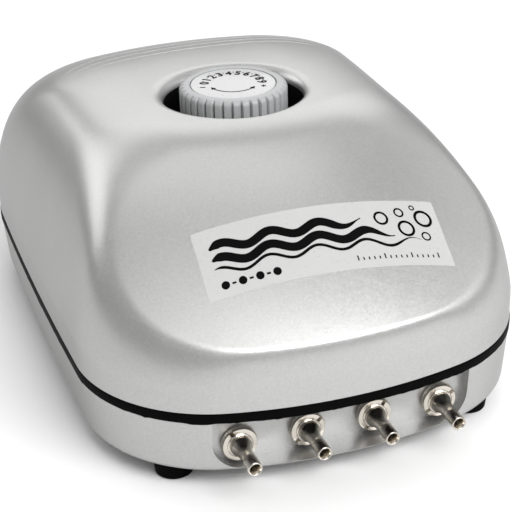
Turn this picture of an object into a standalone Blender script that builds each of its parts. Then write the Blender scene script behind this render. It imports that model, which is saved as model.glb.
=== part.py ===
"""Aquarium air pump: a domed two-shell housing with four air outlets and a control knob,
and inside it an electromagnet that swings two arms against two rubber diaphragms.

Everything hangs on one empty, pump_frame, whose zero is the seam between cover and gasket, on the
middle of the housing. Its place puts the world's origin under the middle of the whole pump, on the
surface that the feet stand on. Front is -Y, up is +Z.
"""

import math

import bmesh
import bpy
from mathutils import Matrix, Vector

mm = 0.001

# Housing outline: front and back are arcs, the sides are almost straight, the corners are round.
BODY_WIDTH = 147.2 * mm
BODY_DEPTH = 216.8 * mm
END_ARC_RADIUS = 151.3 * mm
SIDE_ARC_RADIUS = 1954 * mm
CORNER_RADIUS = 46.6 * mm

# Cover
CROWN_HEIGHT = 61.2 * mm
SKIRT_HEIGHT = 8.9 * mm
CREASE_HEIGHT = 17.3 * mm
HOOD_LENGTH = 80 * mm
HOOD_BLEND = 3.9 * mm
DOME_CENTRE_Y = -40 * mm
COVER_WALL = 2.4 * mm
HOOD_POWER = (1.43, 1.01)
SIDE_POWER = (5.96, 1.2)
BACK_POWER = (4.26, 2.24)

# Base and gasket
BASE_HEIGHT = 18.6 * mm
BASE_WALL = 2.4 * mm
BASE_FLOOR = 2.2 * mm
BASE_DRAFT = 1.5 * mm
BASE_EDGE = 1.2 * mm
GASKET_BAND = 3.3 * mm
GASKET_WIDTH = 5 * mm
GASKET_CROWN = 0.25 * mm

# Clearances
GAP = 0.3 * mm
SHAFT_GAP = 0.3 * mm

# Air outlets
OUTLET_PITCH = 22 * mm
OUTLET_COUNT = 4
OUTLET_Z = -14.1 * mm
POCKET_DEPTH = 10.4 * mm
POCKET_SIDE = 9 * mm
POCKET_LIP = 1.2 * mm
NUT_RADIUS = 5.75 * mm
NUT_THICKNESS = 2.3 * mm
NUT_SLOT = 1.3 * mm
NUT_TURNS = (60, 140, 126, 146)
THREAD_RADIUS = 3 * mm
NIPPLE_REACH = 13.9 * mm
NIPPLE_BORE = 1.3 * mm
NIPPLE_FLANGE = (1.5 * mm, 2.2 * mm)
NIPPLE_SPIGOT = 4 * mm
HOSE_END_RADIUS = 2.3 * mm

# Control knob and its well
KNOB_Y = -3.9 * mm
KNOB_RADIUS = 18.35 * mm
KNOB_HEIGHT = 15 * mm
KNOB_STANDS = 2.1 * mm
KNOB_RIBS = 36
KNOB_GROOVE = 0.9 * mm
KNOB_CHAMFER = (2.6 * mm, 1.6 * mm)
KNOB_ROOF = 4 * mm
KNOB_HOLLOW = 3.5 * mm
DISC_RADIUS = 14.4 * mm
DISC_SEAT = 0.9 * mm
WELL_RADIUS = 24 * mm
WELL_DEPTH = 16 * mm
WELL_LIP = 1.2 * mm
SHAFT_RADIUS = 3 * mm
BUSH_RADIUS = 4.5 * mm
POT_RADIUS = 8.5 * mm
POT_HEIGHT = 9.5 * mm
POT_FLOOR = 2 * mm
POT_NUT = (6.8 * mm, 1.8 * mm)
BOARD = (46 * mm, 36 * mm, 1.6 * mm)

# Feet and screws
FOOT_HEIGHT = 6 * mm
FOOT_RADIUS = 6.5 * mm
FOOT_NECK = 2.7 * mm
FOOT_BARB = (1.3 * mm, 3 * mm)
FOOT_EDGE = (0.6 * mm, 1 * mm)
FOOT_ASIDE = 50 * mm
FOOT_INSET = 22.4 * mm
SCREW_INSET = (13.6 * mm, 47.4 * mm)
SCREW_SHANK = 1.75 * mm
SCREW_LENGTH = 26 * mm
SCREW_HEAD = (3.3 * mm, 2.4 * mm)
COLUMN_RADIUS = 5.5 * mm
BOSS_RADIUS = 4.2 * mm
COUNTERBORE_DEPTH = 8 * mm

# Electromagnet
DRIVE_Z = 8 * mm
CORE_STACK = 16 * mm
CORE_BACK_Y = -26 * mm
CORE_YOKE = 10 * mm
CORE_HALF_WIDTH = 26 * mm
CORE_LEG = 10 * mm
CENTRE_LEG = 12 * mm
CORE_FRONT_Y = 12 * mm
BOBBIN_WALL = 1.4 * mm
BOBBIN_CORNER = 0.5 * mm
WINDING_MARGIN = 1 * mm
WINDING_CORNER = 2 * mm
COIL_DEPTH = 6.2 * mm
CORE_SCREW_RADIUS = 1.8 * mm

# Swing arms, magnets and pivots, mirrored about the middle
ARM_X = 12 * mm
ARM_THICK = 3 * mm
ARM_TALL = 12 * mm
PIVOT_Y = 76 * mm
MAGNET = (16 * mm, 6 * mm, 16 * mm)
MAGNET_GAP = 2 * mm
MAGNET_SEAT = 2 * mm
PIVOT_BLOCK = (14 * mm, 10 * mm)

# Pump heads: a diaphragm over a valve box on each side
HEAD_Y = 45 * mm
HEAD_WIDTH = 36 * mm
HEAD_TOP = 24 * mm
RIM_FACE_X = 28.6 * mm
BOX_FACE_X = 31 * mm
WEB_X = 37 * mm
WEB_THICK = 2.5 * mm
BOX_BACK_X = 49 * mm
HEAD_WALL = 2.5 * mm
RIM_RADIUS = 15 * mm
CHAMBER_RADIUS = 12.5 * mm
RUBBER = 2 * mm
FLAP = (0.6 * mm, 9 * mm, 7 * mm)
FLAP_CLEARANCE = 0.2 * mm
VALVE_OFFSET = 6 * mm
VALVE_HOLE = 2 * mm
HEAD_COVER = 2.2 * mm
HEAD_SCREW = 1.2 * mm

# Air line
HOSE_OUTER = 3.6 * mm
HOSE_BORE = 2.5 * mm
SPIGOT_RADIUS = 2.2 * mm
SPIGOT_REACH = 7 * mm
MANIFOLD = (84 * mm, 13 * mm, 10 * mm)
MANIFOLD_WALL = 2.2 * mm
MANIFOLD_PORT_X = 32 * mm

# Intake filter and cord gland
FELT_SETBACK = 19 * mm
FELT_RIM = 2 * mm
INTAKE_HOLES = 6
INTAKE_RADIUS = 1.6 * mm
FELT_RADIUS = 11 * mm
FELT_THICK = 3 * mm
GLAND_Z = -12 * mm
GLAND_RADIUS = 6.8 * mm
GLAND_BORE = 2.8 * mm
GLAND_PROUD = 1.4 * mm

BASE_TOP_Z = -GASKET_BAND
BASE_BOTTOM_Z = BASE_TOP_Z - BASE_HEIGHT
FLOOR_Z = BASE_BOTTOM_Z + BASE_FLOOR
POCKET_FLOOR_Y = -BODY_DEPTH / 2 + POCKET_DEPTH
MANIFOLD_FRONT_Y = POCKET_FLOOR_Y + BASE_WALL + 2 * GAP + NIPPLE_FLANGE[1]
MANIFOLD_BACK_Y = MANIFOLD_FRONT_Y + MANIFOLD[1]
SOCKET_DEPTH = NIPPLE_SPIGOT + GAP
FELT_Y = MANIFOLD_BACK_Y + FELT_SETBACK
NUT_FACE_Y = POCKET_FLOOR_Y - GAP - NUT_THICKNESS
NIPPLE_TIP_Y = NUT_FACE_Y - NIPPLE_REACH
GLAND_END_Y = BODY_DEPTH / 2 + GLAND_PROUD
WELL_FLOOR_Z = CROWN_HEIGHT - WELL_DEPTH
KNOB_TOP_Z = CROWN_HEIGHT + KNOB_STANDS

for old in list(bpy.data.objects):
    bpy.data.objects.remove(old, do_unlink=True)

parts = bpy.data.collections.new("aquarium_air_pump")
cutters = bpy.data.collections.new("cutters")
bpy.context.scene.collection.children.link(parts)
bpy.context.scene.collection.children.link(cutters)
cutters.hide_render = True

pump_frame = bpy.data.objects.new("pump_frame", None)
pump_frame.location = (0, -(NIPPLE_TIP_Y + GLAND_END_Y) / 2, FOOT_HEIGHT - BASE_BOTTOM_Z)
parts.objects.link(pump_frame)


def material(name, colour, roughness, metallic=0.0):
    made = bpy.data.materials.new(name)
    made.use_nodes = True
    shader = made.node_tree.nodes["Principled BSDF"]
    shader.inputs["Base Color"].default_value = (*colour, 1)
    shader.inputs["Roughness"].default_value = roughness
    shader.inputs["Metallic"].default_value = metallic
    return made


silver_paint = material("silver_paint", (0.62, 0.62, 0.61), 0.32, 0.55)
black_rubber = material("black_rubber", (0.015, 0.015, 0.016), 0.6)
nickel = material("nickel", (0.72, 0.68, 0.6), 0.18, 1.0)
grey_plastic = material("grey_plastic", (0.62, 0.62, 0.62), 0.38)
white_plastic = material("white_plastic", (0.82, 0.82, 0.82), 0.2)
black_plastic = material("black_plastic", (0.03, 0.03, 0.03), 0.45)
steel = material("steel", (0.55, 0.55, 0.55), 0.35, 1.0)
core_steel = material("core_steel", (0.2, 0.2, 0.21), 0.5, 0.8)
copper = material("copper", (0.72, 0.32, 0.14), 0.35, 1.0)
ferrite = material("ferrite", (0.06, 0.06, 0.065), 0.7)
board_green = material("board_green", (0.03, 0.2, 0.07), 0.4)
clear_hose = material("clear_hose", (0.7, 0.72, 0.7), 0.2)
felt = material("felt", (0.75, 0.73, 0.68), 0.95)


def add_object(name, mesh, finish):
    """A piece of the pump, or a hidden cutter when it has no finish."""
    made = bpy.data.objects.new(name, mesh)
    made.parent = pump_frame
    if finish is None:
        cutters.objects.link(made)
        made.hide_render = True
        made.display_type = "WIRE"
    else:
        mesh.materials.append(finish)
        parts.objects.link(made)
    return made


def mesh_from(name, bm):
    bmesh.ops.recalc_face_normals(bm, faces=bm.faces)
    mesh = bpy.data.meshes.new(name)
    bm.to_mesh(mesh)
    bm.free()
    return mesh


def box(name, low, high, finish=None):
    bm = bmesh.new()
    bmesh.ops.create_cube(bm, size=1)
    low, high = Vector(low), Vector(high)
    bmesh.ops.scale(bm, vec=high - low, verts=bm.verts)
    bmesh.ops.translate(bm, vec=(low + high) / 2, verts=bm.verts)
    return add_object(name, mesh_from(name, bm), finish)


def axis_turn(axis):
    """The rotation that takes local +Z to the given direction."""
    return Vector((0, 0, 1)).rotation_difference(Vector(axis))


def rod(name, radius, start, end, finish=None, sides=20):
    """A cylinder from start to end."""
    start, end = Vector(start), Vector(end)
    bm = bmesh.new()
    bmesh.ops.create_cone(
        bm, cap_ends=True, segments=sides, radius1=radius, radius2=radius, depth=(end - start).length
    )
    turn = axis_turn(end - start).to_matrix().to_4x4()
    bmesh.ops.transform(bm, matrix=Matrix.Translation((start + end) / 2) @ turn, verts=bm.verts)
    return add_object(name, mesh_from(name, bm), finish)


def turned(name, profile, at, axis=(0, 0, 1), finish=None, steps=24, bored=False):
    """A solid of revolution. The profile is (radius, height) points down its outer side; a bored
    one comes back up the bore and is closed on itself."""
    mesh = bpy.data.meshes.new(name)
    points = [(radius, 0, height) for radius, height in profile]
    edges = [(i, i + 1) for i in range(len(points) - 1)]
    if bored:
        edges.append((len(points) - 1, 0))
    mesh.from_pydata(points, edges, [])
    made = add_object(name, mesh, finish)
    made.location = at
    made.rotation_mode = "QUATERNION"
    made.rotation_quaternion = axis_turn(axis)
    screw = made.modifiers.new("Turn", "SCREW")
    screw.steps = steps
    screw.render_steps = steps
    screw.use_merge_vertices = True
    screw.merge_threshold = 0.00001
    screw.use_smooth_shade = True
    return made


def loft(name, rings, finish=None):
    """A closed skin over rings of equal length; a ring of one point is a pole."""
    bm = bmesh.new()
    rows = [[bm.verts.new(point) for point in ring] for ring in rings]
    for low, high in zip(rows, rows[1:]):
        count = max(len(low), len(high))
        for i in range(count):
            j = (i + 1) % count
            if len(low) == 1:
                bm.faces.new((low[0], high[j], high[i]))
            elif len(high) == 1:
                bm.faces.new((low[i], low[j], high[0]))
            else:
                bm.faces.new((low[i], low[j], high[j], high[i]))
    for end in (rows[0], rows[-1]):
        if len(end) > 2:
            bm.faces.new(end)
    mesh = mesh_from(name, bm)
    mesh.shade_smooth()
    mesh.set_sharp_from_angle(angle=math.radians(35))
    return add_object(name, mesh, finish)


def combine(body, operation, tools):
    for tool in tools:
        boolean = body.modifiers.new(tool.name, "BOOLEAN")
        boolean.operation = operation
        boolean.solver = "EXACT"
        boolean.object = tool
    return body


def join(body, *tools):
    return combine(body, "UNION", tools)


def cut(body, *tools):
    return combine(body, "DIFFERENCE", tools)


# ---------------------------------------------------------------- housing outline


def corner_centre():
    """Where the corner arc's centre is, touching the end arc and the side arc from inside."""
    end_y = BODY_DEPTH / 2 - END_ARC_RADIUS
    side_x = BODY_WIDTH / 2 - SIDE_ARC_RADIUS
    to_end = END_ARC_RADIUS - CORNER_RADIUS
    to_side = SIDE_ARC_RADIUS - CORNER_RADIUS
    apart = math.hypot(side_x, end_y)
    along = (to_end**2 - to_side**2 + apart**2) / (2 * apart)
    across = math.sqrt(to_end**2 - along**2)
    unit = (side_x / apart, -end_y / apart)
    return (unit[0] * along - unit[1] * -across, end_y + unit[1] * along + unit[0] * -across)


def outline(inset, side_steps=2, corner_steps=6, end_steps=3):
    """The plan outline moved in by inset, as (x, y) points counter-clockwise from +X."""
    corner_x, corner_y = corner_centre()
    side_x = BODY_WIDTH / 2 - SIDE_ARC_RADIUS
    end_y = BODY_DEPTH / 2 - END_ARC_RADIUS
    side_end = math.atan2(corner_y, corner_x - side_x)
    end_start = math.atan2(corner_y - end_y, corner_x)
    arcs = (
        (side_x, 0, SIDE_ARC_RADIUS, 0, side_end, side_steps),
        (corner_x, corner_y, CORNER_RADIUS, side_end, end_start, corner_steps),
        (0, end_y, END_ARC_RADIUS, end_start, math.pi / 2, end_steps),
    )
    quarter = []
    for centre_x, centre_y, radius, start, end, steps in arcs:
        for step in range(steps):
            angle = start + (end - start) * step / steps
            quarter.append(
                (
                    centre_x + (radius - inset) * math.cos(angle),
                    centre_y + (radius - inset) * math.sin(angle),
                )
            )
    quarter.append((0.0, BODY_DEPTH / 2 - inset))
    left = [(-x, y) for x, y in reversed(quarter[:-1])]
    back_half = quarter + left
    front_half = [(x, -y) for x, y in reversed(back_half[1:-1])]
    return back_half + front_half


def ring(inset, z):
    return [(x, y, z) for x, y in outline(inset)]


# ---------------------------------------------------------------- top cover


def smooth_min(a, b, blend):
    share = min(max(0.5 + 0.5 * (b - a) / blend, 0), 1)
    return b * (1 - share) + a * share - blend * share * (1 - share)


def cover_height(x, y, ratio, sweep):
    """Height of the cover's skin. ratio runs from 0 at the crown to 1 at the outline, and sweep is
    the sine of the direction, -1 at the front and 1 at the back. A sloping hood trims the front."""
    back = min(max(sweep, 0), 1)
    back = back * back * (3 - 2 * back)
    power = SIDE_POWER[0] + (BACK_POWER[0] - SIDE_POWER[0]) * back
    root = SIDE_POWER[1] + (BACK_POWER[1] - SIDE_POWER[1]) * back
    dome = SKIRT_HEIGHT + (CROWN_HEIGHT - SKIRT_HEIGHT) * max(1 - ratio**power, 0) ** (1 / root)
    hood_centre_y = END_ARC_RADIUS - BODY_DEPTH / 2
    from_front = END_ARC_RADIUS - math.hypot(x, y - hood_centre_y)
    if y > hood_centre_y:
        from_front = HOOD_LENGTH
    climb = min(max(1 - from_front / HOOD_LENGTH, 0), 1)
    rise = CROWN_HEIGHT + HOOD_BLEND / 4 - CREASE_HEIGHT
    hood = CREASE_HEIGHT + rise * (1 - climb ** HOOD_POWER[0]) ** (1 / HOOD_POWER[1])
    return smooth_min(dome, hood, HOOD_BLEND)


def cover_ring(inset, ratio, drop):
    """One ring of the cover's skin: the outline drawn towards the dome's centre."""
    points = []
    for x, y in outline(inset):
        sweep = math.sin(math.atan2(y / BODY_DEPTH, x / BODY_WIDTH))
        at_x = x * ratio
        at_y = DOME_CENTRE_Y + (y - DOME_CENTRE_Y) * ratio
        points.append((at_x, at_y, cover_height(at_x, at_y, ratio, sweep) - drop))
    return points


def crown_point(drop):
    return [(0, DOME_CENTRE_Y, cover_height(0, DOME_CENTRE_Y, 0, 0) - drop)]


COVER_RATIOS = (0.3, 0.5, 0.65, 0.76, 0.85, 0.92, 0.965, 0.988, 1.0)
outer_rings = [cover_ring(0, ratio, 0) for ratio in COVER_RATIOS]
inner_rings = [cover_ring(COVER_WALL, ratio, COVER_WALL) for ratio in COVER_RATIOS]
top_cover = loft(
    "top_cover",
    [crown_point(0)]
    + outer_rings
    + [ring(0, 0), ring(COVER_WALL, 0)]
    + list(reversed(inner_rings))
    + [crown_point(COVER_WALL)],
    silver_paint,
)

well_outer = WELL_RADIUS + COVER_WALL
well_cup = rod(
    "well_cup",
    well_outer,
    (0, KNOB_Y, WELL_FLOOR_Z - COVER_WALL),
    (0, KNOB_Y, CROWN_HEIGHT - COVER_WALL / 2),
    sides=36,
)
well_hollow = turned(
    "well_hollow",
    [
        (0, CROWN_HEIGHT + WELL_DEPTH),
        (WELL_RADIUS + WELL_LIP, CROWN_HEIGHT + WELL_DEPTH),
        (WELL_RADIUS + WELL_LIP, CROWN_HEIGHT - WELL_LIP * 0.3),
        (WELL_RADIUS + WELL_LIP * 0.3, CROWN_HEIGHT - WELL_LIP),
        (WELL_RADIUS, CROWN_HEIGHT - 2 * WELL_LIP),
        (WELL_RADIUS, WELL_FLOOR_Z),
        (0, WELL_FLOOR_Z),
    ],
    (0, KNOB_Y, 0),
    steps=36,
)
bush_hole = rod(
    "bush_hole",
    BUSH_RADIUS + GAP,
    (0, KNOB_Y, WELL_FLOOR_Z - 2 * COVER_WALL),
    (0, KNOB_Y, WELL_FLOOR_Z + COVER_WALL),
    sides=24,
)
join(top_cover, well_cup)



def four_places(x, y):
    """Four places the same distance from both middle lines, front pair first."""
    return [(-x, -y), (x, -y), (-x, y), (x, y)]


SCREW_PLACES = four_places(BODY_WIDTH / 2 - SCREW_INSET[0], BODY_DEPTH / 2 - SCREW_INSET[1])
SCREW_SEAT_Z = BASE_BOTTOM_Z + COUNTERBORE_DEPTH
SCREW_TIP_Z = SCREW_SEAT_Z + SCREW_LENGTH


def skin_height(x, y):
    """Height of the cover's outer skin over a point of the plan."""
    direction = Vector((x, y - DOME_CENTRE_Y))
    edge = max(
        outline(0, 40, 40, 40),
        key=lambda p: direction.dot(Vector((p[0], p[1] - DOME_CENTRE_Y)).normalized()),
    )
    ratio = direction.length / math.hypot(edge[0], edge[1] - DOME_CENTRE_Y)
    sweep = math.sin(math.atan2(edge[1] / BODY_DEPTH, edge[0] / BODY_WIDTH))
    return cover_height(x, y, ratio, sweep)


for number, (x, y) in enumerate(SCREW_PLACES, 1):
    reach = Vector((x, y)).normalized() * BOSS_RADIUS
    boss_top = skin_height(x + reach.x, y + reach.y) - COVER_WALL / 2
    boss = rod(f"boss_{number}", BOSS_RADIUS, (x, y, -GAP), (x, y, boss_top), sides=16)
    join(top_cover, boss)
for number, (x, y) in enumerate(SCREW_PLACES, 1):
    screw_hole = rod(
        f"screw_hole_{number}",
        SCREW_SHANK + GAP,
        (x, y, -BASE_HEIGHT),
        (x, y, SCREW_TIP_Z + 2 * GAP),
        sides=12,
    )
    cut(top_cover, screw_hole)
cut(top_cover, well_hollow, bush_hole)

# ---------------------------------------------------------------- gasket

gasket_high = -GAP
gasket_low = BASE_TOP_Z + GAP
gasket_loop = (
    (0, gasket_high),
    (-GASKET_CROWN, (gasket_high + gasket_low) / 2),
    (0, gasket_low),
    (GASKET_WIDTH, gasket_low),
    (GASKET_WIDTH, gasket_high),
)


def ring_solid(name, loop, finish):
    """A closed band round the housing outline, from (inset, height) points."""
    bm = bmesh.new()
    rows = [[bm.verts.new(point) for point in ring(inset, z)] for inset, z in loop]
    for low, high in zip(rows, rows[1:] + rows[:1]):
        for i in range(len(low)):
            j = (i + 1) % len(low)
            bm.faces.new((low[i], low[j], high[j], high[i]))
    return add_object(name, mesh_from(name, bm), finish)


ring_solid("cover_gasket", gasket_loop, black_rubber)

# ---------------------------------------------------------------- base housing

base_housing = loft(
    "base_housing",
    [
        ring(BASE_DRAFT + BASE_EDGE, BASE_BOTTOM_Z),
        ring(BASE_DRAFT + BASE_EDGE * 0.3, BASE_BOTTOM_Z + BASE_EDGE * 0.3),
        ring(BASE_DRAFT, BASE_BOTTOM_Z + BASE_EDGE),
        ring(0, BASE_TOP_Z),
        ring(BASE_WALL, BASE_TOP_Z),
        ring(BASE_DRAFT + BASE_WALL, FLOOR_Z),
    ],
    silver_paint,
)

pocket_half = OUTLET_PITCH * (OUTLET_COUNT - 1) / 2 + POCKET_SIDE
pocket_bottom = BASE_BOTTOM_Z + POCKET_LIP
outlet_xs = [OUTLET_PITCH * (i - (OUTLET_COUNT - 1) / 2) for i in range(OUTLET_COUNT)]


def pocket_outline(grow):
    """The pocket seen from the front: open at the top, with round lower corners."""
    radius = POCKET_SIDE + grow
    corner_z = pocket_bottom + POCKET_SIDE
    corner_x = pocket_half - POCKET_SIDE
    top = BASE_TOP_Z + (GASKET_BAND if grow == 0 else 0)
    points = [(-corner_x - radius, top)]
    for side, start in ((-1, math.pi), (1, 1.5 * math.pi)):
        for step in range(7):
            angle = start + step * math.pi / 12
            points.append(
                (side * corner_x + radius * math.cos(angle), corner_z + radius * math.sin(angle))
            )
    points.append((corner_x + radius, top))
    return points


def pocket_block(name, grow, near_y, far_y):
    shape = pocket_outline(grow)
    return loft(name, [[(x, near_y, z) for x, z in shape], [(x, far_y, z) for x, z in shape]])


pocket_walls = pocket_block(
    "pocket_walls", POCKET_LIP, -BODY_DEPTH / 2 + 9 * mm, POCKET_FLOOR_Y + BASE_WALL
)
pocket_room = pocket_block("pocket_room", 0, -BODY_DEPTH / 2 - POCKET_DEPTH, POCKET_FLOOR_Y)
join(base_housing, pocket_walls)

for number, (x, y) in enumerate(SCREW_PLACES, 1):
    column = rod(
        f"column_{number}",
        COLUMN_RADIUS,
        (x, y, FLOOR_Z - BASE_FLOOR / 2),
        (x, y, -2 * GAP),
        sides=16,
    )
    counterbore = turned(
        f"counterbore_{number}",
        [
            (0, GASKET_BAND),
            (SCREW_SHANK + GAP, GASKET_BAND),
            (SCREW_SHANK + GAP, SCREW_SEAT_Z),
            (SCREW_HEAD[0] + GAP, SCREW_SEAT_Z),
            (SCREW_HEAD[0] + GAP, BASE_BOTTOM_Z - GASKET_BAND),
            (0, BASE_BOTTOM_Z - GASKET_BAND),
        ],
        (x, y, 0),
        steps=16,
    )
    join(base_housing, column)
    cut(base_housing, counterbore)

CORE_SCREW_PLACES = [
    (side * (CORE_HALF_WIDTH - CORE_LEG / 2), CORE_BACK_Y + CORE_YOKE / 2) for side in (-1, 1)
]
core_low = DRIVE_Z - CORE_STACK / 2
core_high = DRIVE_Z + CORE_STACK / 2
for number, (x, y) in enumerate(CORE_SCREW_PLACES, 1):
    post = rod(f"post_{number}", CORE_LEG / 2, (x, y, FLOOR_Z - BASE_FLOOR / 2), (x, y, core_low - GAP))
    post_hole = rod(
        f"post_hole_{number}",
        CORE_SCREW_RADIUS + GAP,
        (x, y, FLOOR_Z + BASE_FLOOR),
        (x, y, DRIVE_Z),
        sides=12,
    )
    join(base_housing, post)
    cut(base_housing, post_hole)

felt_wall = turned(
    "felt_wall",
    [
        (FELT_RADIUS + FELT_RIM, FLOOR_Z + FELT_THICK),
        (FELT_RADIUS + FELT_RIM, FLOOR_Z - BASE_FLOOR / 2),
        (FELT_RADIUS + 2 * GAP, FLOOR_Z - BASE_FLOOR / 2),
        (FELT_RADIUS + 2 * GAP, FLOOR_Z + FELT_THICK),
    ],
    (0, FELT_Y, 0),
    steps=24,
    bored=True,
)
join(base_housing, felt_wall)
cut(base_housing, pocket_room)

foot_places = four_places(FOOT_ASIDE, BODY_DEPTH / 2 - FOOT_INSET)
for number, (x, y) in enumerate(foot_places, 1):
    cut(
        base_housing,
        rod(
            f"foot_hole_{number}",
            FOOT_NECK + GAP,
            (x, y, BASE_BOTTOM_Z - BASE_FLOOR),
            (x, y, FLOOR_Z + BASE_FLOOR),
            sides=16,
        ),
    )
for number, x in enumerate(outlet_xs, 1):
    cut(
        base_housing,
        rod(
            f"outlet_hole_{number}",
            THREAD_RADIUS + GAP,
            (x, POCKET_FLOOR_Y - BASE_WALL, OUTLET_Z),
            (x, POCKET_FLOOR_Y + 2 * BASE_WALL, OUTLET_Z),
            sides=16,
        ),
    )
for number in range(INTAKE_HOLES):
    angle = 2 * math.pi * number / INTAKE_HOLES
    x = FELT_RADIUS * 0.55 * math.cos(angle)
    y = FELT_Y + FELT_RADIUS * 0.55 * math.sin(angle)
    intake = rod(
        f"intake_hole_{number}",
        INTAKE_RADIUS,
        (x, y, BASE_BOTTOM_Z - BASE_FLOOR),
        (x, y, FLOOR_Z + BASE_FLOOR / 2),
        sides=10,
    )
    cut(base_housing, intake)

gland_wall_y = BODY_DEPTH / 2 - BASE_DRAFT * (BASE_TOP_Z - GLAND_Z) / BASE_HEIGHT
gland_neck = GLAND_RADIUS - 1.8 * mm
# The wall leans and curves under the gland's flanges, so they stand off by that much and a gap.
gland_ease = GAP + GLAND_RADIUS * BASE_DRAFT / BASE_HEIGHT + GLAND_RADIUS**2 / (2 * END_ARC_RADIUS)
cut(
    base_housing,
    rod(
        "gland_hole",
        gland_neck + GAP,
        (0, gland_wall_y - 3 * BASE_WALL, GLAND_Z),
        (0, gland_wall_y + BASE_WALL, GLAND_Z),
        sides=20,
    ),
)

# ---------------------------------------------------------------- air outlets

for number, x in enumerate(outlet_xs, 1):
    # Heights run from the hose tip, along +Z of the turned profile, back to the manifold spigot.
    wall_back = POCKET_FLOOR_Y + BASE_WALL + GAP - NIPPLE_TIP_Y
    flange_back = wall_back + NIPPLE_FLANGE[1]
    spigot_end = flange_back + NIPPLE_SPIGOT
    profile = [
        (HOSE_END_RADIUS - 0.4 * mm, 0),
        (HOSE_END_RADIUS, 0.5 * mm),
        (HOSE_END_RADIUS, 5.2 * mm),
        (HOSE_END_RADIUS - 0.3 * mm, 5.8 * mm),
        (HOSE_END_RADIUS - 0.3 * mm, 8.6 * mm),
        (HOSE_END_RADIUS + 0.2 * mm, 10 * mm),
        (HOSE_END_RADIUS + 0.9 * mm, 11.6 * mm),
        (HOSE_END_RADIUS + 1.1 * mm, 12.7 * mm),
        (HOSE_END_RADIUS + 1.8 * mm, 12.7 * mm),
        (HOSE_END_RADIUS + 1.8 * mm, 13.6 * mm),
        (THREAD_RADIUS, 13.6 * mm),
        (THREAD_RADIUS, wall_back),
        (THREAD_RADIUS + NIPPLE_FLANGE[0], wall_back),
        (THREAD_RADIUS + NIPPLE_FLANGE[0], flange_back),
        (HOSE_END_RADIUS, flange_back),
        (HOSE_END_RADIUS, spigot_end),
        (NIPPLE_BORE, spigot_end),
        (NIPPLE_BORE, 1 * mm),
        (HOSE_END_RADIUS - 0.7 * mm, 0),
    ]
    turned(
        f"outlet_nipple_{number}",
        [(radius, -height) for radius, height in profile],
        (x, NIPPLE_TIP_Y, OUTLET_Z),
        axis=(0, -1, 0),
        finish=nickel,
        steps=12,
        bored=True,
    )
    nut = turned(
        f"outlet_nut_{number}",
        [
            (NUT_RADIUS - 0.5 * mm, 0),
            (NUT_RADIUS, -0.5 * mm),
            (NUT_RADIUS, -NUT_THICKNESS),
            (THREAD_RADIUS + GAP, -NUT_THICKNESS),
            (THREAD_RADIUS + GAP, 0),
        ],
        (x, NUT_FACE_Y, OUTLET_Z),
        axis=(0, -1, 0),
        finish=nickel,
        steps=16,
        bored=True,
    )
    turn = math.radians(NUT_TURNS[number - 1])
    slot = box(
        f"nut_slot_{number}",
        (-2 * NUT_RADIUS, -NUT_THICKNESS, -NUT_SLOT / 2),
        (2 * NUT_RADIUS, NUT_THICKNESS * 0.4, NUT_SLOT / 2),
    )
    slot.location = (x, NUT_FACE_Y, OUTLET_Z)
    slot.rotation_euler = (0, turn, 0)
    cut(nut, slot)

# ---------------------------------------------------------------- knob, disc and potentiometer


def knob_ring(radius, groove, z):
    """Three points a rib: the foot of the groove and the rib's two edges."""
    points = []
    for rib in range(KNOB_RIBS):
        for share, depth in ((0, groove), (0.16, 0), (0.84, 0)):
            angle = 2 * math.pi * (rib + share) / KNOB_RIBS
            points.append(((radius - depth) * math.cos(angle), (radius - depth) * math.sin(angle), z))
    return points


knob_low = -KNOB_HEIGHT
control_knob = loft(
    "control_knob",
    [
        knob_ring(KNOB_RADIUS, KNOB_GROOVE, knob_low),
        knob_ring(KNOB_RADIUS, KNOB_GROOVE, -KNOB_CHAMFER[1]),
        knob_ring(KNOB_RADIUS - KNOB_CHAMFER[0] / 2, 0, -KNOB_CHAMFER[1] / 5),
        knob_ring(KNOB_RADIUS - KNOB_CHAMFER[0], 0, 0),
        knob_ring(DISC_RADIUS + GAP, 0, 0),
        knob_ring(DISC_RADIUS + GAP, 0, -DISC_SEAT),
    ],
    grey_plastic,
)
control_knob.location = (0, KNOB_Y, KNOB_TOP_Z)
knob_hollow = turned(
    "knob_hollow",
    [
        (0, -KNOB_ROOF),
        (SHAFT_RADIUS + GAP, -KNOB_ROOF),
        (SHAFT_RADIUS + GAP, knob_low + KNOB_HOLLOW),
        (POT_NUT[0] + 4 * GAP, knob_low + KNOB_HOLLOW - 3 * GAP),
        (POT_NUT[0] + 4 * GAP, knob_low - 2 * GAP),
        (0, knob_low - 2 * GAP),
    ],
    (0, KNOB_Y, KNOB_TOP_Z),
    steps=24,
)
cut(control_knob, knob_hollow)
knob_disc = rod(
    "knob_disc", DISC_RADIUS, (0, 0, GAP - DISC_SEAT), (0, 0, -GAP / 3), white_plastic, sides=36
)
knob_disc.location = control_knob.location

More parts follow.
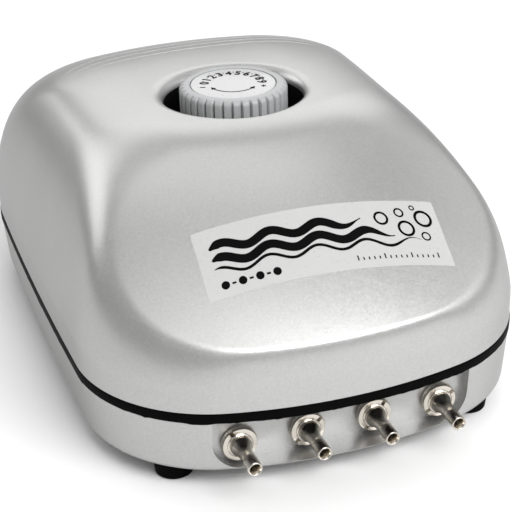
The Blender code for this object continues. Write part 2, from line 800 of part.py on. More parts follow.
well_under_z = WELL_FLOOR_Z - COVER_WALL
pot_top = well_under_z - GAP
pot_low = pot_top - POT_HEIGHT
bush_top = WELL_FLOOR_Z + POT_NUT[1] + 2 * GAP
turned(
    "potentiometer_body",
    [
        (BUSH_RADIUS, bush_top),
        (BUSH_RADIUS, pot_top),
        (POT_RADIUS, pot_top),
        (POT_RADIUS, pot_low),
        (0, pot_low),
        (0, pot_low + POT_FLOOR),
        (SHAFT_RADIUS + SHAFT_GAP, pot_low + POT_FLOOR),
        (SHAFT_RADIUS + SHAFT_GAP, bush_top),
    ],
    (0, KNOB_Y, 0),
    finish=steel,
    bored=True,
)
rod(
    "potentiometer_shaft",
    SHAFT_RADIUS,
    (0, KNOB_Y, pot_low + POT_FLOOR + GAP),
    (0, KNOB_Y, KNOB_TOP_Z - KNOB_ROOF - GAP),
    steel,
)
turned(
    "potentiometer_nut",
    [
        (POT_NUT[0], WELL_FLOOR_Z + GAP + POT_NUT[1]),
        (POT_NUT[0], WELL_FLOOR_Z + GAP),
        (BUSH_RADIUS + GAP, WELL_FLOOR_Z + GAP),
        (BUSH_RADIUS + GAP, WELL_FLOOR_Z + GAP + POT_NUT[1]),
    ],
    (0, KNOB_Y, 0),
    finish=steel,
    steps=6 * 4,
    bored=True,
)
box(
    "control_board",
    (-BOARD[0] / 2, KNOB_Y - BOARD[1] / 2, pot_low - GAP - BOARD[2]),
    (BOARD[0] / 2, KNOB_Y + BOARD[1] / 2, pot_low - GAP),
    board_green,
)

# ---------------------------------------------------------------- feet and housing screws

for number, (x, y) in enumerate(foot_places, 1):
    turned(
        f"foot_{number}",
        [
            (0, FLOOR_Z + GAP + FOOT_BARB[1]),
            (FOOT_NECK, FLOOR_Z + GAP + FOOT_BARB[1]),
            (FOOT_NECK + FOOT_BARB[0], FLOOR_Z + GAP),
            (FOOT_NECK, FLOOR_Z + GAP),
            (FOOT_NECK, BASE_BOTTOM_Z - GAP),
            (FOOT_RADIUS, BASE_BOTTOM_Z - GAP),
            (FOOT_RADIUS, BASE_BOTTOM_Z - FOOT_HEIGHT + FOOT_EDGE[1]),
            (FOOT_RADIUS - FOOT_EDGE[0], BASE_BOTTOM_Z - FOOT_HEIGHT),
            (0, BASE_BOTTOM_Z - FOOT_HEIGHT),
        ],
        (x, y, 0),
        finish=black_rubber,
        steps=20,
    )

for number, (x, y) in enumerate(SCREW_PLACES, 1):
    head_z = SCREW_SEAT_Z - GAP
    turned(
        f"housing_screw_{number}",
        [
            (0, SCREW_TIP_Z),
            (SCREW_SHANK * 0.4, SCREW_TIP_Z),
            (SCREW_SHANK, SCREW_TIP_Z - 2 * mm),
            (SCREW_SHANK, head_z),
            (SCREW_HEAD[0], head_z),
            (SCREW_HEAD[0], head_z - SCREW_HEAD[1] * 0.6),
            (SCREW_HEAD[0] * 0.7, head_z - SCREW_HEAD[1]),
            (0, head_z - SCREW_HEAD[1]),
        ],
        (x, y, 0),
        finish=steel,
        steps=14,
    )

# ---------------------------------------------------------------- electromagnet

leg_low_y = CORE_BACK_Y + CORE_YOKE
magnet_core = box(
    "magnet_core",
    (-CORE_HALF_WIDTH, CORE_BACK_Y, core_low),
    (CORE_HALF_WIDTH, CORE_FRONT_Y, core_high),
    core_steel,
)
for side, name in ((-1, "core_window_left"), (1, "core_window_right")):
    edges = sorted((side * CENTRE_LEG / 2, side * (CORE_HALF_WIDTH - CORE_LEG)))
    window = box(
        name,
        (edges[0], leg_low_y, core_low - CORE_STACK / 2),
        (edges[1], CORE_FRONT_Y + CORE_LEG, core_high + CORE_STACK / 2),
    )
    cut(magnet_core, window)
for number, (x, y) in enumerate(CORE_SCREW_PLACES, 1):
    core_hole = rod(
        f"core_hole_{number}",
        CORE_SCREW_RADIUS + GAP,
        (x, y, core_low - 2 * mm),
        (x, y, core_high + 2 * mm),
        sides=12,
    )
    cut(magnet_core, core_hole)
    turned(
        f"core_screw_{number}",
        [
            (0, core_high + GAP + 2.2 * mm),
            (CORE_SCREW_RADIUS * 1.9, core_high + GAP + 2.2 * mm),
            (CORE_SCREW_RADIUS * 1.9, core_high + GAP),
            (CORE_SCREW_RADIUS, core_high + GAP),
            (CORE_SCREW_RADIUS, FLOOR_Z + BASE_FLOOR + 2 * GAP),
            (0, FLOOR_Z + BASE_FLOOR + 2 * GAP),
        ],
        (x, y, 0),
        finish=steel,
        steps=14,
    )


def rounded_loop(half_x, half_z, radius, y, steps=4):
    """A rectangle with round corners in an XZ plane, round the coil's axis."""
    points = []
    for corner, (sign_x, sign_z) in enumerate(((1, 1), (-1, 1), (-1, -1), (1, -1))):
        for step in range(steps + 1):
            angle = (corner + step / steps) * math.pi / 2
            points.append(
                (
                    sign_x * (half_x - radius) + radius * math.cos(angle),
                    y,
                    DRIVE_Z + sign_z * (half_z - radius) + radius * math.sin(angle),
                )
            )
    return points


def sleeve(name, loops, finish):
    """A closed skin over rounded rectangles taken in order, the last joined to the first."""
    bm = bmesh.new()
    rows = [[bm.verts.new(point) for point in rounded_loop(*loop)] for loop in loops]
    for low, high in zip(rows, rows[1:] + rows[:1]):
        for i in range(len(low)):
            j = (i + 1) % len(low)
            bm.faces.new((low[i], low[j], high[j], high[i]))
    return add_object(name, mesh_from(name, bm), finish)


bore_x = CENTRE_LEG / 2 + GAP
bore_z = CORE_STACK / 2 + GAP
tube_x, tube_z = bore_x + BOBBIN_WALL, bore_z + BOBBIN_WALL
flange_x, flange_z = tube_x + COIL_DEPTH, tube_z + COIL_DEPTH
bobbin_y = (leg_low_y + GAP, CORE_FRONT_Y - 2 * GAP)
sleeve(
    "coil_bobbin",
    [
        (bore_x, bore_z, BOBBIN_CORNER * 0.4, bobbin_y[0]),
        (flange_x, flange_z, 2 * mm, bobbin_y[0]),
        (flange_x, flange_z, 2 * mm, bobbin_y[0] + BOBBIN_WALL),
        (tube_x, tube_z, BOBBIN_CORNER, bobbin_y[0] + BOBBIN_WALL),
        (tube_x, tube_z, BOBBIN_CORNER, bobbin_y[1] - BOBBIN_WALL),
        (flange_x, flange_z, 2 * mm, bobbin_y[1] - BOBBIN_WALL),
        (flange_x, flange_z, 2 * mm, bobbin_y[1]),
        (bore_x, bore_z, BOBBIN_CORNER * 0.4, bobbin_y[1]),
    ],
    black_plastic,
)
wind_y = (bobbin_y[0] + BOBBIN_WALL + GAP, bobbin_y[1] - BOBBIN_WALL - GAP)
wind_x = flange_x - WINDING_MARGIN
wind_z = flange_z - WINDING_MARGIN
sleeve(
    "coil_winding",
    [
        (tube_x + GAP, tube_z + GAP, BOBBIN_CORNER, wind_y[0]),
        (wind_x - BOBBIN_CORNER, wind_z - BOBBIN_CORNER, WINDING_CORNER, wind_y[0]),
        (wind_x, wind_z, WINDING_CORNER, wind_y[0] + BOBBIN_CORNER),
        (wind_x, wind_z, WINDING_CORNER, wind_y[1] - BOBBIN_CORNER),
        (wind_x - BOBBIN_CORNER, wind_z - BOBBIN_CORNER, WINDING_CORNER, wind_y[1]),
        (tube_x + GAP, tube_z + GAP, BOBBIN_CORNER, wind_y[1]),
    ],
    copper,
)

# ---------------------------------------------------------------- two swing arms and pump heads

magnet_y = CORE_FRONT_Y + MAGNET_GAP
seat_y = magnet_y + MAGNET[1] + GAP
block_y = (PIVOT_Y - PIVOT_BLOCK[1] / 2, PIVOT_Y + PIVOT_BLOCK[1] / 2)
tail_y = block_y[1] - 2 * mm
membrane_x = RIM_FACE_X - GAP - RUBBER / 2


def span(side, near, far):
    """The x range from near to far, measured outwards on one side of the pump."""
    return sorted((side * near, side * far))


def swing_unit(side, name):
    arm_near, arm_far = span(side, ARM_X - ARM_THICK / 2, ARM_X + ARM_THICK / 2)
    pivot = Vector((side * ARM_X, PIVOT_Y, DRIVE_Z))
    arm = box(
        f"swing_arm_{name}",
        Vector((arm_near, seat_y, DRIVE_Z - ARM_TALL / 2)) - pivot,
        Vector((arm_far, tail_y, DRIVE_Z + ARM_TALL / 2)) - pivot,
        steel,
    )
    arm.location = pivot
    seat_near, seat_far = span(side, ARM_X - MAGNET[0] / 2, ARM_X + MAGNET[0] / 2)
    magnet_seat = box(
        f"magnet_seat_{name}",
        (seat_near, seat_y, DRIVE_Z - MAGNET[2] / 2),
        (seat_far, seat_y + MAGNET_SEAT, DRIVE_Z + MAGNET[2] / 2),
    )
    hub_boss = rod(
        f"hub_boss_{name}",
        4 * mm,
        (side * ARM_X, HEAD_Y, DRIVE_Z),
        (side * (membrane_x - RUBBER / 2 - 3 * mm), HEAD_Y, DRIVE_Z),
        sides=16,
    )
    hub_hole = rod(
        f"hub_hole_{name}",
        1.8 * mm + GAP,
        (side * (ARM_X - ARM_THICK), HEAD_Y, DRIVE_Z),
        (side * BOX_FACE_X, HEAD_Y, DRIVE_Z),
        sides=12,
    )
    join(arm, magnet_seat, hub_boss)
    cut(arm, hub_hole)
    box(
        f"arm_magnet_{name}",
        (seat_near, magnet_y, DRIVE_Z - MAGNET[2] / 2),
        (seat_far, magnet_y + MAGNET[1], DRIVE_Z + MAGNET[2] / 2),
        ferrite,
    )

    block_near, block_far = span(side, ARM_X - PIVOT_BLOCK[0] / 2, ARM_X + PIVOT_BLOCK[0] / 2)
    block = box(
        f"arm_pivot_{name}",
        (block_near, block_y[0], FLOOR_Z + GAP),
        (block_far, block_y[1], DRIVE_Z + ARM_TALL / 2 + 3 * mm),
        black_rubber,
    )
    slot_side = ARM_THICK / 2 + GAP
    slot_near, slot_far = span(side, ARM_X - slot_side, ARM_X + slot_side)
    arm_slot = box(
        f"arm_slot_{name}",
        (slot_near, block_y[0] - 5 * mm, DRIVE_Z - ARM_TALL / 2 - GAP),
        (slot_far, tail_y + GAP, DRIVE_Z + ARM_TALL / 2 + GAP),
    )
    cut(block, arm_slot)

    # Heights of the hub and of the diaphragm run outwards from the rubber's middle plane.
    washer = 1.3 * mm
    face = RUBBER / 2 + GAP
    stem = membrane_x - ARM_X + ARM_THICK / 2
    turned(
        f"diaphragm_hub_{name}",
        [
            (0, face + washer + 1.6 * mm),
            (3.2 * mm, face + washer + 1.6 * mm),
            (3.2 * mm, face + washer),
            (6.5 * mm, face + washer),
            (6.5 * mm, face),
            (1.8 * mm, face),
            (1.8 * mm, -face),
            (6.5 * mm, -face),
            (6.5 * mm, -face - washer),
            (1.8 * mm, -face - washer),
            (1.8 * mm, -stem),
            (0, -stem),
        ],
        (side * membrane_x, HEAD_Y, DRIVE_Z),
        axis=(side, 0, 0),
        finish=steel,
        steps=12,
    )
    turned(
        f"diaphragm_{name}",
        [
            (RIM_RADIUS + GAP + RUBBER, RUBBER / 2 + 2.2 * mm),
            (RIM_RADIUS + GAP + RUBBER, -RUBBER / 2 + 0.6 * mm),
            (RIM_RADIUS + GAP + RUBBER - 0.6 * mm, -RUBBER / 2),
            (12 * mm, -RUBBER / 2),
            (9.6 * mm, -RUBBER * 1.2),
            (7.6 * mm, -RUBBER / 2),
            (1.8 * mm + GAP, -RUBBER / 2),
            (1.8 * mm + GAP, RUBBER / 2),
            (7.6 * mm, RUBBER / 2),
            (9.6 * mm, -RUBBER / 2 + 0.4 * mm),
            (12 * mm, RUBBER / 2),
            (RIM_RADIUS + GAP, RUBBER / 2),
            (RIM_RADIUS + GAP, RUBBER / 2 + 2.2 * mm),
        ],
        (side * membrane_x, HEAD_Y, DRIVE_Z),
        axis=(side, 0, 0),
        finish=black_rubber,
        steps=18,
        bored=True,
    )

    near_x, far_x = span(side, BOX_FACE_X, BOX_BACK_X)
    head = box(
        f"pump_head_{name}",
        (near_x, HEAD_Y - HEAD_WIDTH / 2, FLOOR_Z + GAP),
        (far_x, HEAD_Y + HEAD_WIDTH / 2, HEAD_TOP),
        black_plastic,
    )

    def along(label, radius, start, end, y=HEAD_Y, z=DRIVE_Z, sides=12):
        return rod(f"{label}_{name}", radius, (side * start, y, z), (side * end, y, z), sides=sides)

    join(head, along("head_rim", RIM_RADIUS, RIM_FACE_X, BOX_FACE_X + 1 * mm, sides=24))
    cut(head, along("chamber", CHAMBER_RADIUS, RIM_FACE_X - 1 * mm, WEB_X, sides=20))
    outer_wall = HEAD_WIDTH / 2 - HEAD_WALL
    for label, low_y, high_y in (
        ("outlet_room", HEAD_Y - outer_wall, HEAD_Y - HEAD_WALL / 2),
        ("intake_room", HEAD_Y + HEAD_WALL / 2, HEAD_Y + outer_wall),
    ):
        room_near, room_far = span(side, WEB_X + WEB_THICK, BOX_BACK_X + HEAD_WALL)
        room = box(
            f"{label}_{name}",
            (room_near, low_y, DRIVE_Z - CHAMBER_RADIUS),
            (room_far, high_y, DRIVE_Z + CHAMBER_RADIUS),
        )
        cut(head, room)
    for label, y in (("outlet_port", HEAD_Y - VALVE_OFFSET), ("intake_port", HEAD_Y + VALVE_OFFSET)):
        cut(head, along(label, VALVE_HOLE, WEB_X - 1 * mm, WEB_X + WEB_THICK + 1 * mm, y=y))

    spigot_x = side * (WEB_X + WEB_THICK + BOX_BACK_X) / 2
    front_y = HEAD_Y - HEAD_WIDTH / 2
    join(
        head,
        rod(
            f"head_spigot_{name}",
            SPIGOT_RADIUS,
            (spigot_x, front_y + 1 * mm, DRIVE_Z),
            (spigot_x, front_y - SPIGOT_REACH, DRIVE_Z),
            sides=14,
        ),
    )
    cut(
        head,
        rod(
            f"spigot_bore_{name}",
            NIPPLE_BORE,
            (spigot_x, front_y + 2 * HEAD_WALL, DRIVE_Z),
            (spigot_x, front_y - SPIGOT_REACH - 1 * mm, DRIVE_Z),
            sides=10,
        ),
    )

    cover_near, cover_far = span(side, BOX_BACK_X + GAP, BOX_BACK_X + GAP + HEAD_COVER)
    head_cover = box(
        f"head_cover_{name}",
        (cover_near, HEAD_Y - HEAD_WIDTH / 2, FLOOR_Z + GAP),
        (cover_far, HEAD_Y + HEAD_WIDTH / 2, HEAD_TOP),
        black_plastic,
    )
    inlet_y = HEAD_Y + HEAD_WIDTH / 4
    inlet_end = BOX_BACK_X + 2 * HEAD_COVER
    cut(head_cover, along("head_inlet", HOSE_BORE, BOX_BACK_X - GAP, inlet_end, y=inlet_y))
    corner_z = HEAD_TOP - HEAD_WALL / 2 - 0.5 * mm
    for number, z in enumerate((corner_z, DRIVE_Z - CHAMBER_RADIUS - HEAD_WALL), 1):
        for body, start in ((head, WEB_X + 1 * mm), (head_cover, BOX_BACK_X - 1 * mm)):
            stop = BOX_BACK_X + 2 * HEAD_COVER
            tapped = along(f"{body.name}_screw_hole_{number}", HEAD_SCREW + GAP, start, stop, z=z)
            cut(body, tapped)
        head_x = BOX_BACK_X + 2 * GAP + HEAD_COVER
        turned(
            f"head_screw_{name}_{number}",
            [
                (0, 1.2 * mm),
                (2.1 * mm, 1.2 * mm),
                (2.1 * mm, 0),
                (HEAD_SCREW, 0),
                (HEAD_SCREW, -9 * mm),
                (0, -9 * mm),
            ],
            (side * head_x, HEAD_Y, z),
            axis=(side, 0, 0),
            finish=steel,
            steps=12,
        )

    # Each flap's origin is on its hinge line: the intake flap opens inwards, the outlet flap outwards.
    thick, long, tall = FLAP
    for label, root_y, reach, plane in (
        ("intake_flap", HEAD_Y + VALVE_OFFSET + long / 2, -1, WEB_X - FLAP_CLEARANCE - thick / 2),
        ("outlet_flap", HEAD_Y - VALVE_OFFSET - long / 2, 1, WEB_X + WEB_THICK + FLAP_CLEARANCE + thick / 2),
    ):
        ends = sorted((0, reach * long))
        flap = box(
            f"{label}_{name}",
            (-thick / 2, ends[0], -tall / 2),
            (thick / 2, ends[1], tall / 2),
            black_rubber,
        )
        flap.location = (side * plane, root_y, DRIVE_Z)
    return spigot_x, front_y


spigots = [swing_unit(-1, "left"), swing_unit(1, "right")]

# ---------------------------------------------------------------- manifold and hoses

air_manifold = box(
    "air_manifold",
    (-MANIFOLD[0] / 2, MANIFOLD_FRONT_Y, OUTLET_Z - MANIFOLD[2] / 2),
    (MANIFOLD[0] / 2, MANIFOLD_BACK_Y, OUTLET_Z + MANIFOLD[2] / 2),
    black_plastic,
)
room_x = MANIFOLD[0] / 2 - MANIFOLD_WALL
room_z = MANIFOLD[2] / 2 - MANIFOLD_WALL
air_room = box(
    "air_room",
    (-room_x, MANIFOLD_FRONT_Y + SOCKET_DEPTH - MANIFOLD_WALL / 2, OUTLET_Z - room_z),
    (room_x, MANIFOLD_BACK_Y - MANIFOLD_WALL, OUTLET_Z + room_z),
)
port_ends = []
for name, x in (("left", -MANIFOLD_PORT_X), ("right", MANIFOLD_PORT_X)):
    port_end = MANIFOLD_BACK_Y + SPIGOT_REACH
    port_ends.append((x, port_end))
    join(
        air_manifold,
        rod(
            f"manifold_spigot_{name}",
            SPIGOT_RADIUS,
            (x, MANIFOLD_BACK_Y - 1 * mm, OUTLET_Z),
            (x, port_end, OUTLET_Z),
            sides=14,
        ),
    )
cut(air_manifold, air_room)
for number, x in enumerate(outlet_xs, 1):
    socket = rod(
        f"manifold_socket_{number}",
        HOSE_END_RADIUS + GAP,
        (x, MANIFOLD_FRONT_Y - 1 * mm, OUTLET_Z),
        (x, MANIFOLD_FRONT_Y + SOCKET_DEPTH, OUTLET_Z),
        sides=14,
    )
    cut(air_manifold, socket)
for name, (x, port_end) in zip(("left", "right"), port_ends):
    port_bore = rod(
        f"manifold_bore_{name}",
        NIPPLE_BORE,
        (x, MANIFOLD_BACK_Y - 2 * MANIFOLD_WALL, OUTLET_Z),
        (x, port_end + 1 * mm, OUTLET_Z),
        sides=10,
    )
    cut(air_manifold, port_bore)


def hose_points(start, end, count=12):
    """A route that runs straight over both spigots and between them in one smooth curve."""
    straight = Vector((0, SPIGOT_REACH + 1 * mm, 0))
    reach = Vector((0, 22 * mm, 0))
    leave, arrive = start - straight, end + straight
    handles = (leave, leave - reach, arrive + reach, arrive)
    points = [start]
    for step in range(count + 1):
        t = step / count
        weights = ((1 - t) ** 3, 3 * t * (1 - t) ** 2, 3 * t * t * (1 - t), t**3)
        points.append(sum((w * h for w, h in zip(weights, handles)), Vector()))
    return points + [end]


def tube_mesh(name, points, radius):
    """A filled tube along the points, as a plain mesh."""
    curve = bpy.data.curves.new(name, "CURVE")
    curve.dimensions = "3D"
    curve.bevel_depth = radius
    curve.bevel_resolution = 2
    curve.use_fill_caps = True
    spline = curve.splines.new("POLY")
    spline.points.add(len(points) - 1)
    for spot, point in zip(spline.points, points):
        spot.co = (*point, 1)
    holder = bpy.data.objects.new(name, curve)
    bpy.context.scene.collection.objects.link(holder)
    bpy.context.view_layer.update()
    evaluated = holder.evaluated_get(bpy.context.evaluated_depsgraph_get())
    mesh = bpy.data.meshes.new_from_object(evaluated)
    bpy.data.objects.remove(holder)
    bm = bmesh.new()
    bm.from_mesh(mesh)
    bmesh.ops.remove_doubles(bm, verts=bm.verts, dist=0.00001)
    bmesh.ops.recalc_face_normals(bm, faces=bm.faces)
    bm.to_mesh(mesh)
    bm.free()
    return mesh


for name, (spigot_x, front_y), (port_x, port_end) in zip(("left", "right"), spigots, port_ends):
    start = Vector((spigot_x, front_y - GAP, DRIVE_Z))
    end = Vector((port_x, MANIFOLD_BACK_Y + GAP, OUTLET_Z))
    route = hose_points(start, end)
    hose = add_object(f"air_hose_{name}", tube_mesh(f"air_hose_{name}", route, HOSE_OUTER), clear_hose)
    longer = [start + Vector((0, 2 * mm, 0))] + route[1:-1] + [end - Vector((0, 2 * mm, 0))]
    bore = add_object(f"hose_bore_{name}", tube_mesh(f"hose_bore_{name}", longer, HOSE_BORE), None)
    cut(hose, bore)

# ---------------------------------------------------------------- intake felt and cord gland

rod("intake_felt", FELT_RADIUS, (0, FELT_Y, FLOOR_Z + GAP), (0, FELT_Y, FLOOR_Z + GAP + FELT_THICK), felt)

gland_out = gland_wall_y + gland_ease - GLAND_END_Y
gland_in = gland_wall_y - BASE_WALL - gland_ease - GLAND_END_Y
gland_back = gland_in - 2 * mm
turned(
    "cord_gland",
    [
        (GLAND_RADIUS - 0.6 * mm, 0),
        (GLAND_RADIUS, -0.6 * mm),
        (GLAND_RADIUS, gland_out),
        (gland_neck, gland_out),
        (gland_neck, gland_in),
        (GLAND_RADIUS, gland_in),
        (GLAND_RADIUS - 0.6 * mm, gland_back),
        (GLAND_BORE, gland_back),
        (GLAND_BORE, 0),
    ],
    (0, GLAND_END_Y, GLAND_Z),
    axis=(0, 1, 0),
    finish=black_rubber,
    steps=16,
    bored=True,
)
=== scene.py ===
"""Aquarium air pump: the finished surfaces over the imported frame."""

import math

import bmesh
import bpy
import numpy as np
from mathutils import Matrix, Vector


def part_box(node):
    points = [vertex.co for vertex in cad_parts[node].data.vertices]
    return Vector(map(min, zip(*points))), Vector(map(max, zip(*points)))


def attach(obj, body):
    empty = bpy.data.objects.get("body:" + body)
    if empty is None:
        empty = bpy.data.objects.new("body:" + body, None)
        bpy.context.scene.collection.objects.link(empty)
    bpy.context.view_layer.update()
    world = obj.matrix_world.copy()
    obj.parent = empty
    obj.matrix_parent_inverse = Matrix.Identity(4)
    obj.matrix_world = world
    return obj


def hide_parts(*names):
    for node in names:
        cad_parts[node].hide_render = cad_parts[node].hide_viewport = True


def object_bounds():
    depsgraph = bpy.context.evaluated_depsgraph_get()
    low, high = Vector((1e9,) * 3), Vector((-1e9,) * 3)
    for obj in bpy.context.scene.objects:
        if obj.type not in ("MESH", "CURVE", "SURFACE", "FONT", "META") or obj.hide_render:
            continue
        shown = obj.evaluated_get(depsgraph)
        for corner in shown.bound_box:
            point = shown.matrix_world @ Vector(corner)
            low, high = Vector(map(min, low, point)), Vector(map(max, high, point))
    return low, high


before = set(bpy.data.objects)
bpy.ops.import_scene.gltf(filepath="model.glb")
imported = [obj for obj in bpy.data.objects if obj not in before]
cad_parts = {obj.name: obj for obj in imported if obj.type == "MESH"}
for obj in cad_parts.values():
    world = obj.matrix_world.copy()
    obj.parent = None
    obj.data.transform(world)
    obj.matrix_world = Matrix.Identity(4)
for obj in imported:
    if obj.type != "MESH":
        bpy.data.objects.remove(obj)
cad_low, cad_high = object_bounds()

# ---------------------------------------------------------------- base housing
# The lower shell of the pump, moulded and sprayed silver. Its outline is two shallow end arcs, two
# nearly straight sides and four round corners; a flat-floored pocket in its front holds the outlets.

mm = 0.001
gasket_low, gasket_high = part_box("cover_gasket")
CAD_GAP = 0.3 * mm
GASKET_CROWN = 0.25 * mm
MIDDLE_Y = (gasket_low.y + gasket_high.y) / 2
SEAM_Z = gasket_high.z + CAD_GAP
BASE_TOP = gasket_low.z - CAD_GAP
HALF_WIDTH = (gasket_high.x - gasket_low.x) / 2 - GASKET_CROWN
HALF_DEPTH = (gasket_high.y - gasket_low.y) / 2 - GASKET_CROWN
END_RADIUS = 151.3 * mm
SIDE_RADIUS = 1954 * mm
CORNER_RADIUS = 46.6 * mm


def housing_outline(inset, count):
    """The plan outline moved in by inset: count points, evenly spaced, anticlockwise from +X."""
    end_y, side_x = HALF_DEPTH - END_RADIUS, HALF_WIDTH - SIDE_RADIUS
    to_end, to_side = END_RADIUS - CORNER_RADIUS, SIDE_RADIUS - CORNER_RADIUS
    apart = math.hypot(side_x, end_y)
    along = (to_end**2 - to_side**2 + apart**2) / (2 * apart)
    across = math.sqrt(to_end**2 - along**2)
    corner_x = (side_x * along - end_y * across) / apart
    corner_y = end_y - (end_y * along + side_x * across) / apart
    side_stop = math.atan2(corner_y, corner_x - side_x)
    end_start = math.atan2(corner_y - end_y, corner_x)
    steps = np.linspace(0, 1, 200, endpoint=False)
    quarter = []
    for x, y, radius, start, stop in (
        (side_x, 0, SIDE_RADIUS, 0, side_stop),
        (corner_x, corner_y, CORNER_RADIUS, side_stop, end_start),
        (0, end_y, END_RADIUS, end_start, math.pi / 2),
    ):
        turn = start + (stop - start) * steps
        quarter.append(
            np.stack([x + (radius - inset) * np.cos(turn), y + (radius - inset) * np.sin(turn)], 1)
        )
    quarter = np.concatenate(quarter + [[[0, HALF_DEPTH - inset]]])
    half = np.concatenate([quarter, quarter[-2::-1] * [-1, 1]])
    whole = np.concatenate([half, half[-2::-1] * [1, -1]])
    run = np.concatenate([[0], np.cumsum(np.linalg.norm(np.diff(whole, axis=0), axis=1))])
    at = np.linspace(0, run[-1], count, endpoint=False)
    return np.stack([np.interp(at, run, whole[:, 0]), np.interp(at, run, whole[:, 1])], 1)


def skin(name, rings, closed=False):
    """A mesh skinned over rings of equal length; closed joins the last ring to the first, else
    both ends are capped."""
    rings = np.asarray(rings, float)
    rows, count = rings.shape[:2]
    vertices = rings.reshape(-1, 3)
    faces = []
    for row in range(rows if closed else rows - 1):
        low, high = row * count, (row + 1) % rows * count
        for i in range(count):
            j = (i + 1) % count
            faces.append((low + i, low + j, high + j, high + i))
    if not closed:
        faces.append(tuple(range(count))[::-1])
        faces.append(tuple((rows - 1) * count + i for i in range(count)))
    mesh = bpy.data.meshes.new(name)
    mesh.from_pydata(vertices.tolist(), [], faces)
    return outward(name, mesh)


def outward(name, mesh):
    """Puts a mesh in the scene with its faces turned outwards and its edges over 35 degrees sharp."""
    bm = bmesh.new()
    bm.from_mesh(mesh)
    bmesh.ops.recalc_face_normals(bm, faces=bm.faces)
    bm.to_mesh(mesh)
    bm.free()
    mesh.shade_smooth()
    mesh.set_sharp_from_angle(angle=math.radians(35))
    return added(name, mesh)


def added(name, data):
    """A new object in the scene."""
    piece = bpy.data.objects.new(name, data)
    bpy.context.scene.collection.objects.link(piece)
    return piece


def mesh_of(name, bm):
    """Ends a bmesh as a mesh."""
    mesh = bpy.data.meshes.new(name)
    bm.to_mesh(mesh)
    bm.free()
    return mesh


class Wire:
    """A shader socket. Arithmetic on it adds Math nodes, and put() adds any other node."""

    def __init__(self, tree, socket=None):
        self.tree = tree
        self.socket = socket

    def put(self, kind, settings=None, out=0, **sockets):
        node = self.tree.nodes.new(kind)
        for key, value in (settings or {}).items():
            setattr(node, key, value)
        for key, value in sockets.items():
            place = int(key[1:]) if key[1:].isdigit() else key.replace("_", " ")
            socket = node.inputs[place]
            if isinstance(value, Wire):
                self.tree.links.new(value.socket, socket)
            else:
                socket.default_value = value
        return Wire(self.tree, node.outputs[out])

    def maths(self, operation, first, second):
        return self.put("ShaderNodeMath", {"operation": operation}, _0=first, _1=second)

    def __add__(self, other):
        return self.maths("ADD", self, other)

    def __radd__(self, other):
        return self.maths("ADD", other, self)

    def __sub__(self, other):
        return self.maths("SUBTRACT", self, other)

    def __rsub__(self, other):
        return self.maths("SUBTRACT", other, self)

    def __mul__(self, other):
        return self.maths("MULTIPLY", self, other)

    def __rmul__(self, other):
        return self.maths("MULTIPLY", other, self)

    def __gt__(self, other):
        return self.maths("GREATER_THAN", self, other)

    def blend(self, first, second):
        """The colour between first and second, by this share."""
        return self.put("ShaderNodeMix", {"data_type": "RGBA"}, out=2, _0=self, _6=first, _7=second)


def noise(wire, place, scale, detail):
    return wire.put("ShaderNodeTexNoise", Vector=place, Scale=scale, Detail=detail)


def finish_of(name, build, **even):
    """A material: even holds the shader's uniform values, build returns its varying ones."""
    made = bpy.data.materials.new(name)
    made.use_nodes = True
    tree = made.node_tree
    shader = tree.nodes["Principled BSDF"]
    for key, value in even.items():
        if isinstance(value, tuple):
            value = (*value, 1)
        shader.inputs[key.replace("_", " ")].default_value = value
    wire = Wire(tree)
    place = wire.put("ShaderNodeTexCoord", out=3)
    for key, value in build(wire, place).items():
        tree.links.new(value.socket, shader.inputs[key.replace("_", " ")])
    return made


def bump(wire, height, strength, distance):
    return wire.put("ShaderNodeBump", Strength=strength, Distance=distance, Height=height)


def silver_look(wire, place):
    flake = wire.put("ShaderNodeTexVoronoi", out=1, Vector=place, Scale=3200.0)
    spark = wire.put("ShaderNodeSeparateColor", _0=flake)
    cloud = noise(wire, place, 30.0, 3.0)
    fine = noise(wire, place, 900.0, 2.0)
    shade = spark * 0.35 + cloud * 0.3 + fine * 0.35
    return {
        "Base_Color": shade.blend((0.414, 0.414, 0.41, 1), (0.575, 0.575, 0.57, 1)),
        "Roughness": 0.34 + (fine - 0.5) * 0.1 + (spark - 0.5) * 0.06,
        "Normal": bump(wire, spark + fine, 0.05, 0.0001),
    }


PAINT_METALLIC = 0.72
PAINT_COAT = {"Specular_Tint": (0.5, 0.5, 0.5), "Coat_Weight": 0.08, "Coat_Roughness": 0.22}
silver_paint = finish_of("silver_paint", silver_look, Metallic=PAINT_METALLIC, **PAINT_COAT)


def put_on(piece, body, look, slot, *nodes):
    """Gives a finished piece its material and its place in the frame."""
    piece.data.materials.clear()
    piece.data.materials.append(look)
    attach(piece, body)
    if nodes:
        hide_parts(*nodes)


AROUND = 288
BASE_DRAFT = 1.5 * mm
BASE_EDGE = 2.2 * mm
BASE_WALL = 2.4 * mm
FLOOR = 2.2 * mm


def flat_ring(inset, z, count=AROUND):
    plan = housing_outline(inset, count)
    return np.column_stack([plan[:, 0], plan[:, 1] + MIDDLE_Y, np.full(count, z)])


base_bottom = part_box("base_housing")[0].z
edge_turns = np.linspace(0, math.pi / 2, 7)
base_rings = [
    flat_ring(BASE_DRAFT + BASE_EDGE * (1 - math.sin(t)), base_bottom + BASE_EDGE * (1 - math.cos(t)))
    for t in edge_turns
]
base_rings += [
    flat_ring(BASE_DRAFT * (1 - s), base_bottom + BASE_EDGE + (BASE_TOP - base_bottom - BASE_EDGE) * s)
    for s in np.linspace(0.15, 0.98, 8)
]
base_rings += [
    flat_ring(0.08 * mm, BASE_TOP - 0.1 * mm),
    flat_ring(0.3 * mm, BASE_TOP),
    flat_ring(BASE_WALL, BASE_TOP),
    flat_ring(BASE_WALL + BASE_DRAFT, base_bottom + FLOOR),
]
base_shell = skin("base_shell", base_rings)



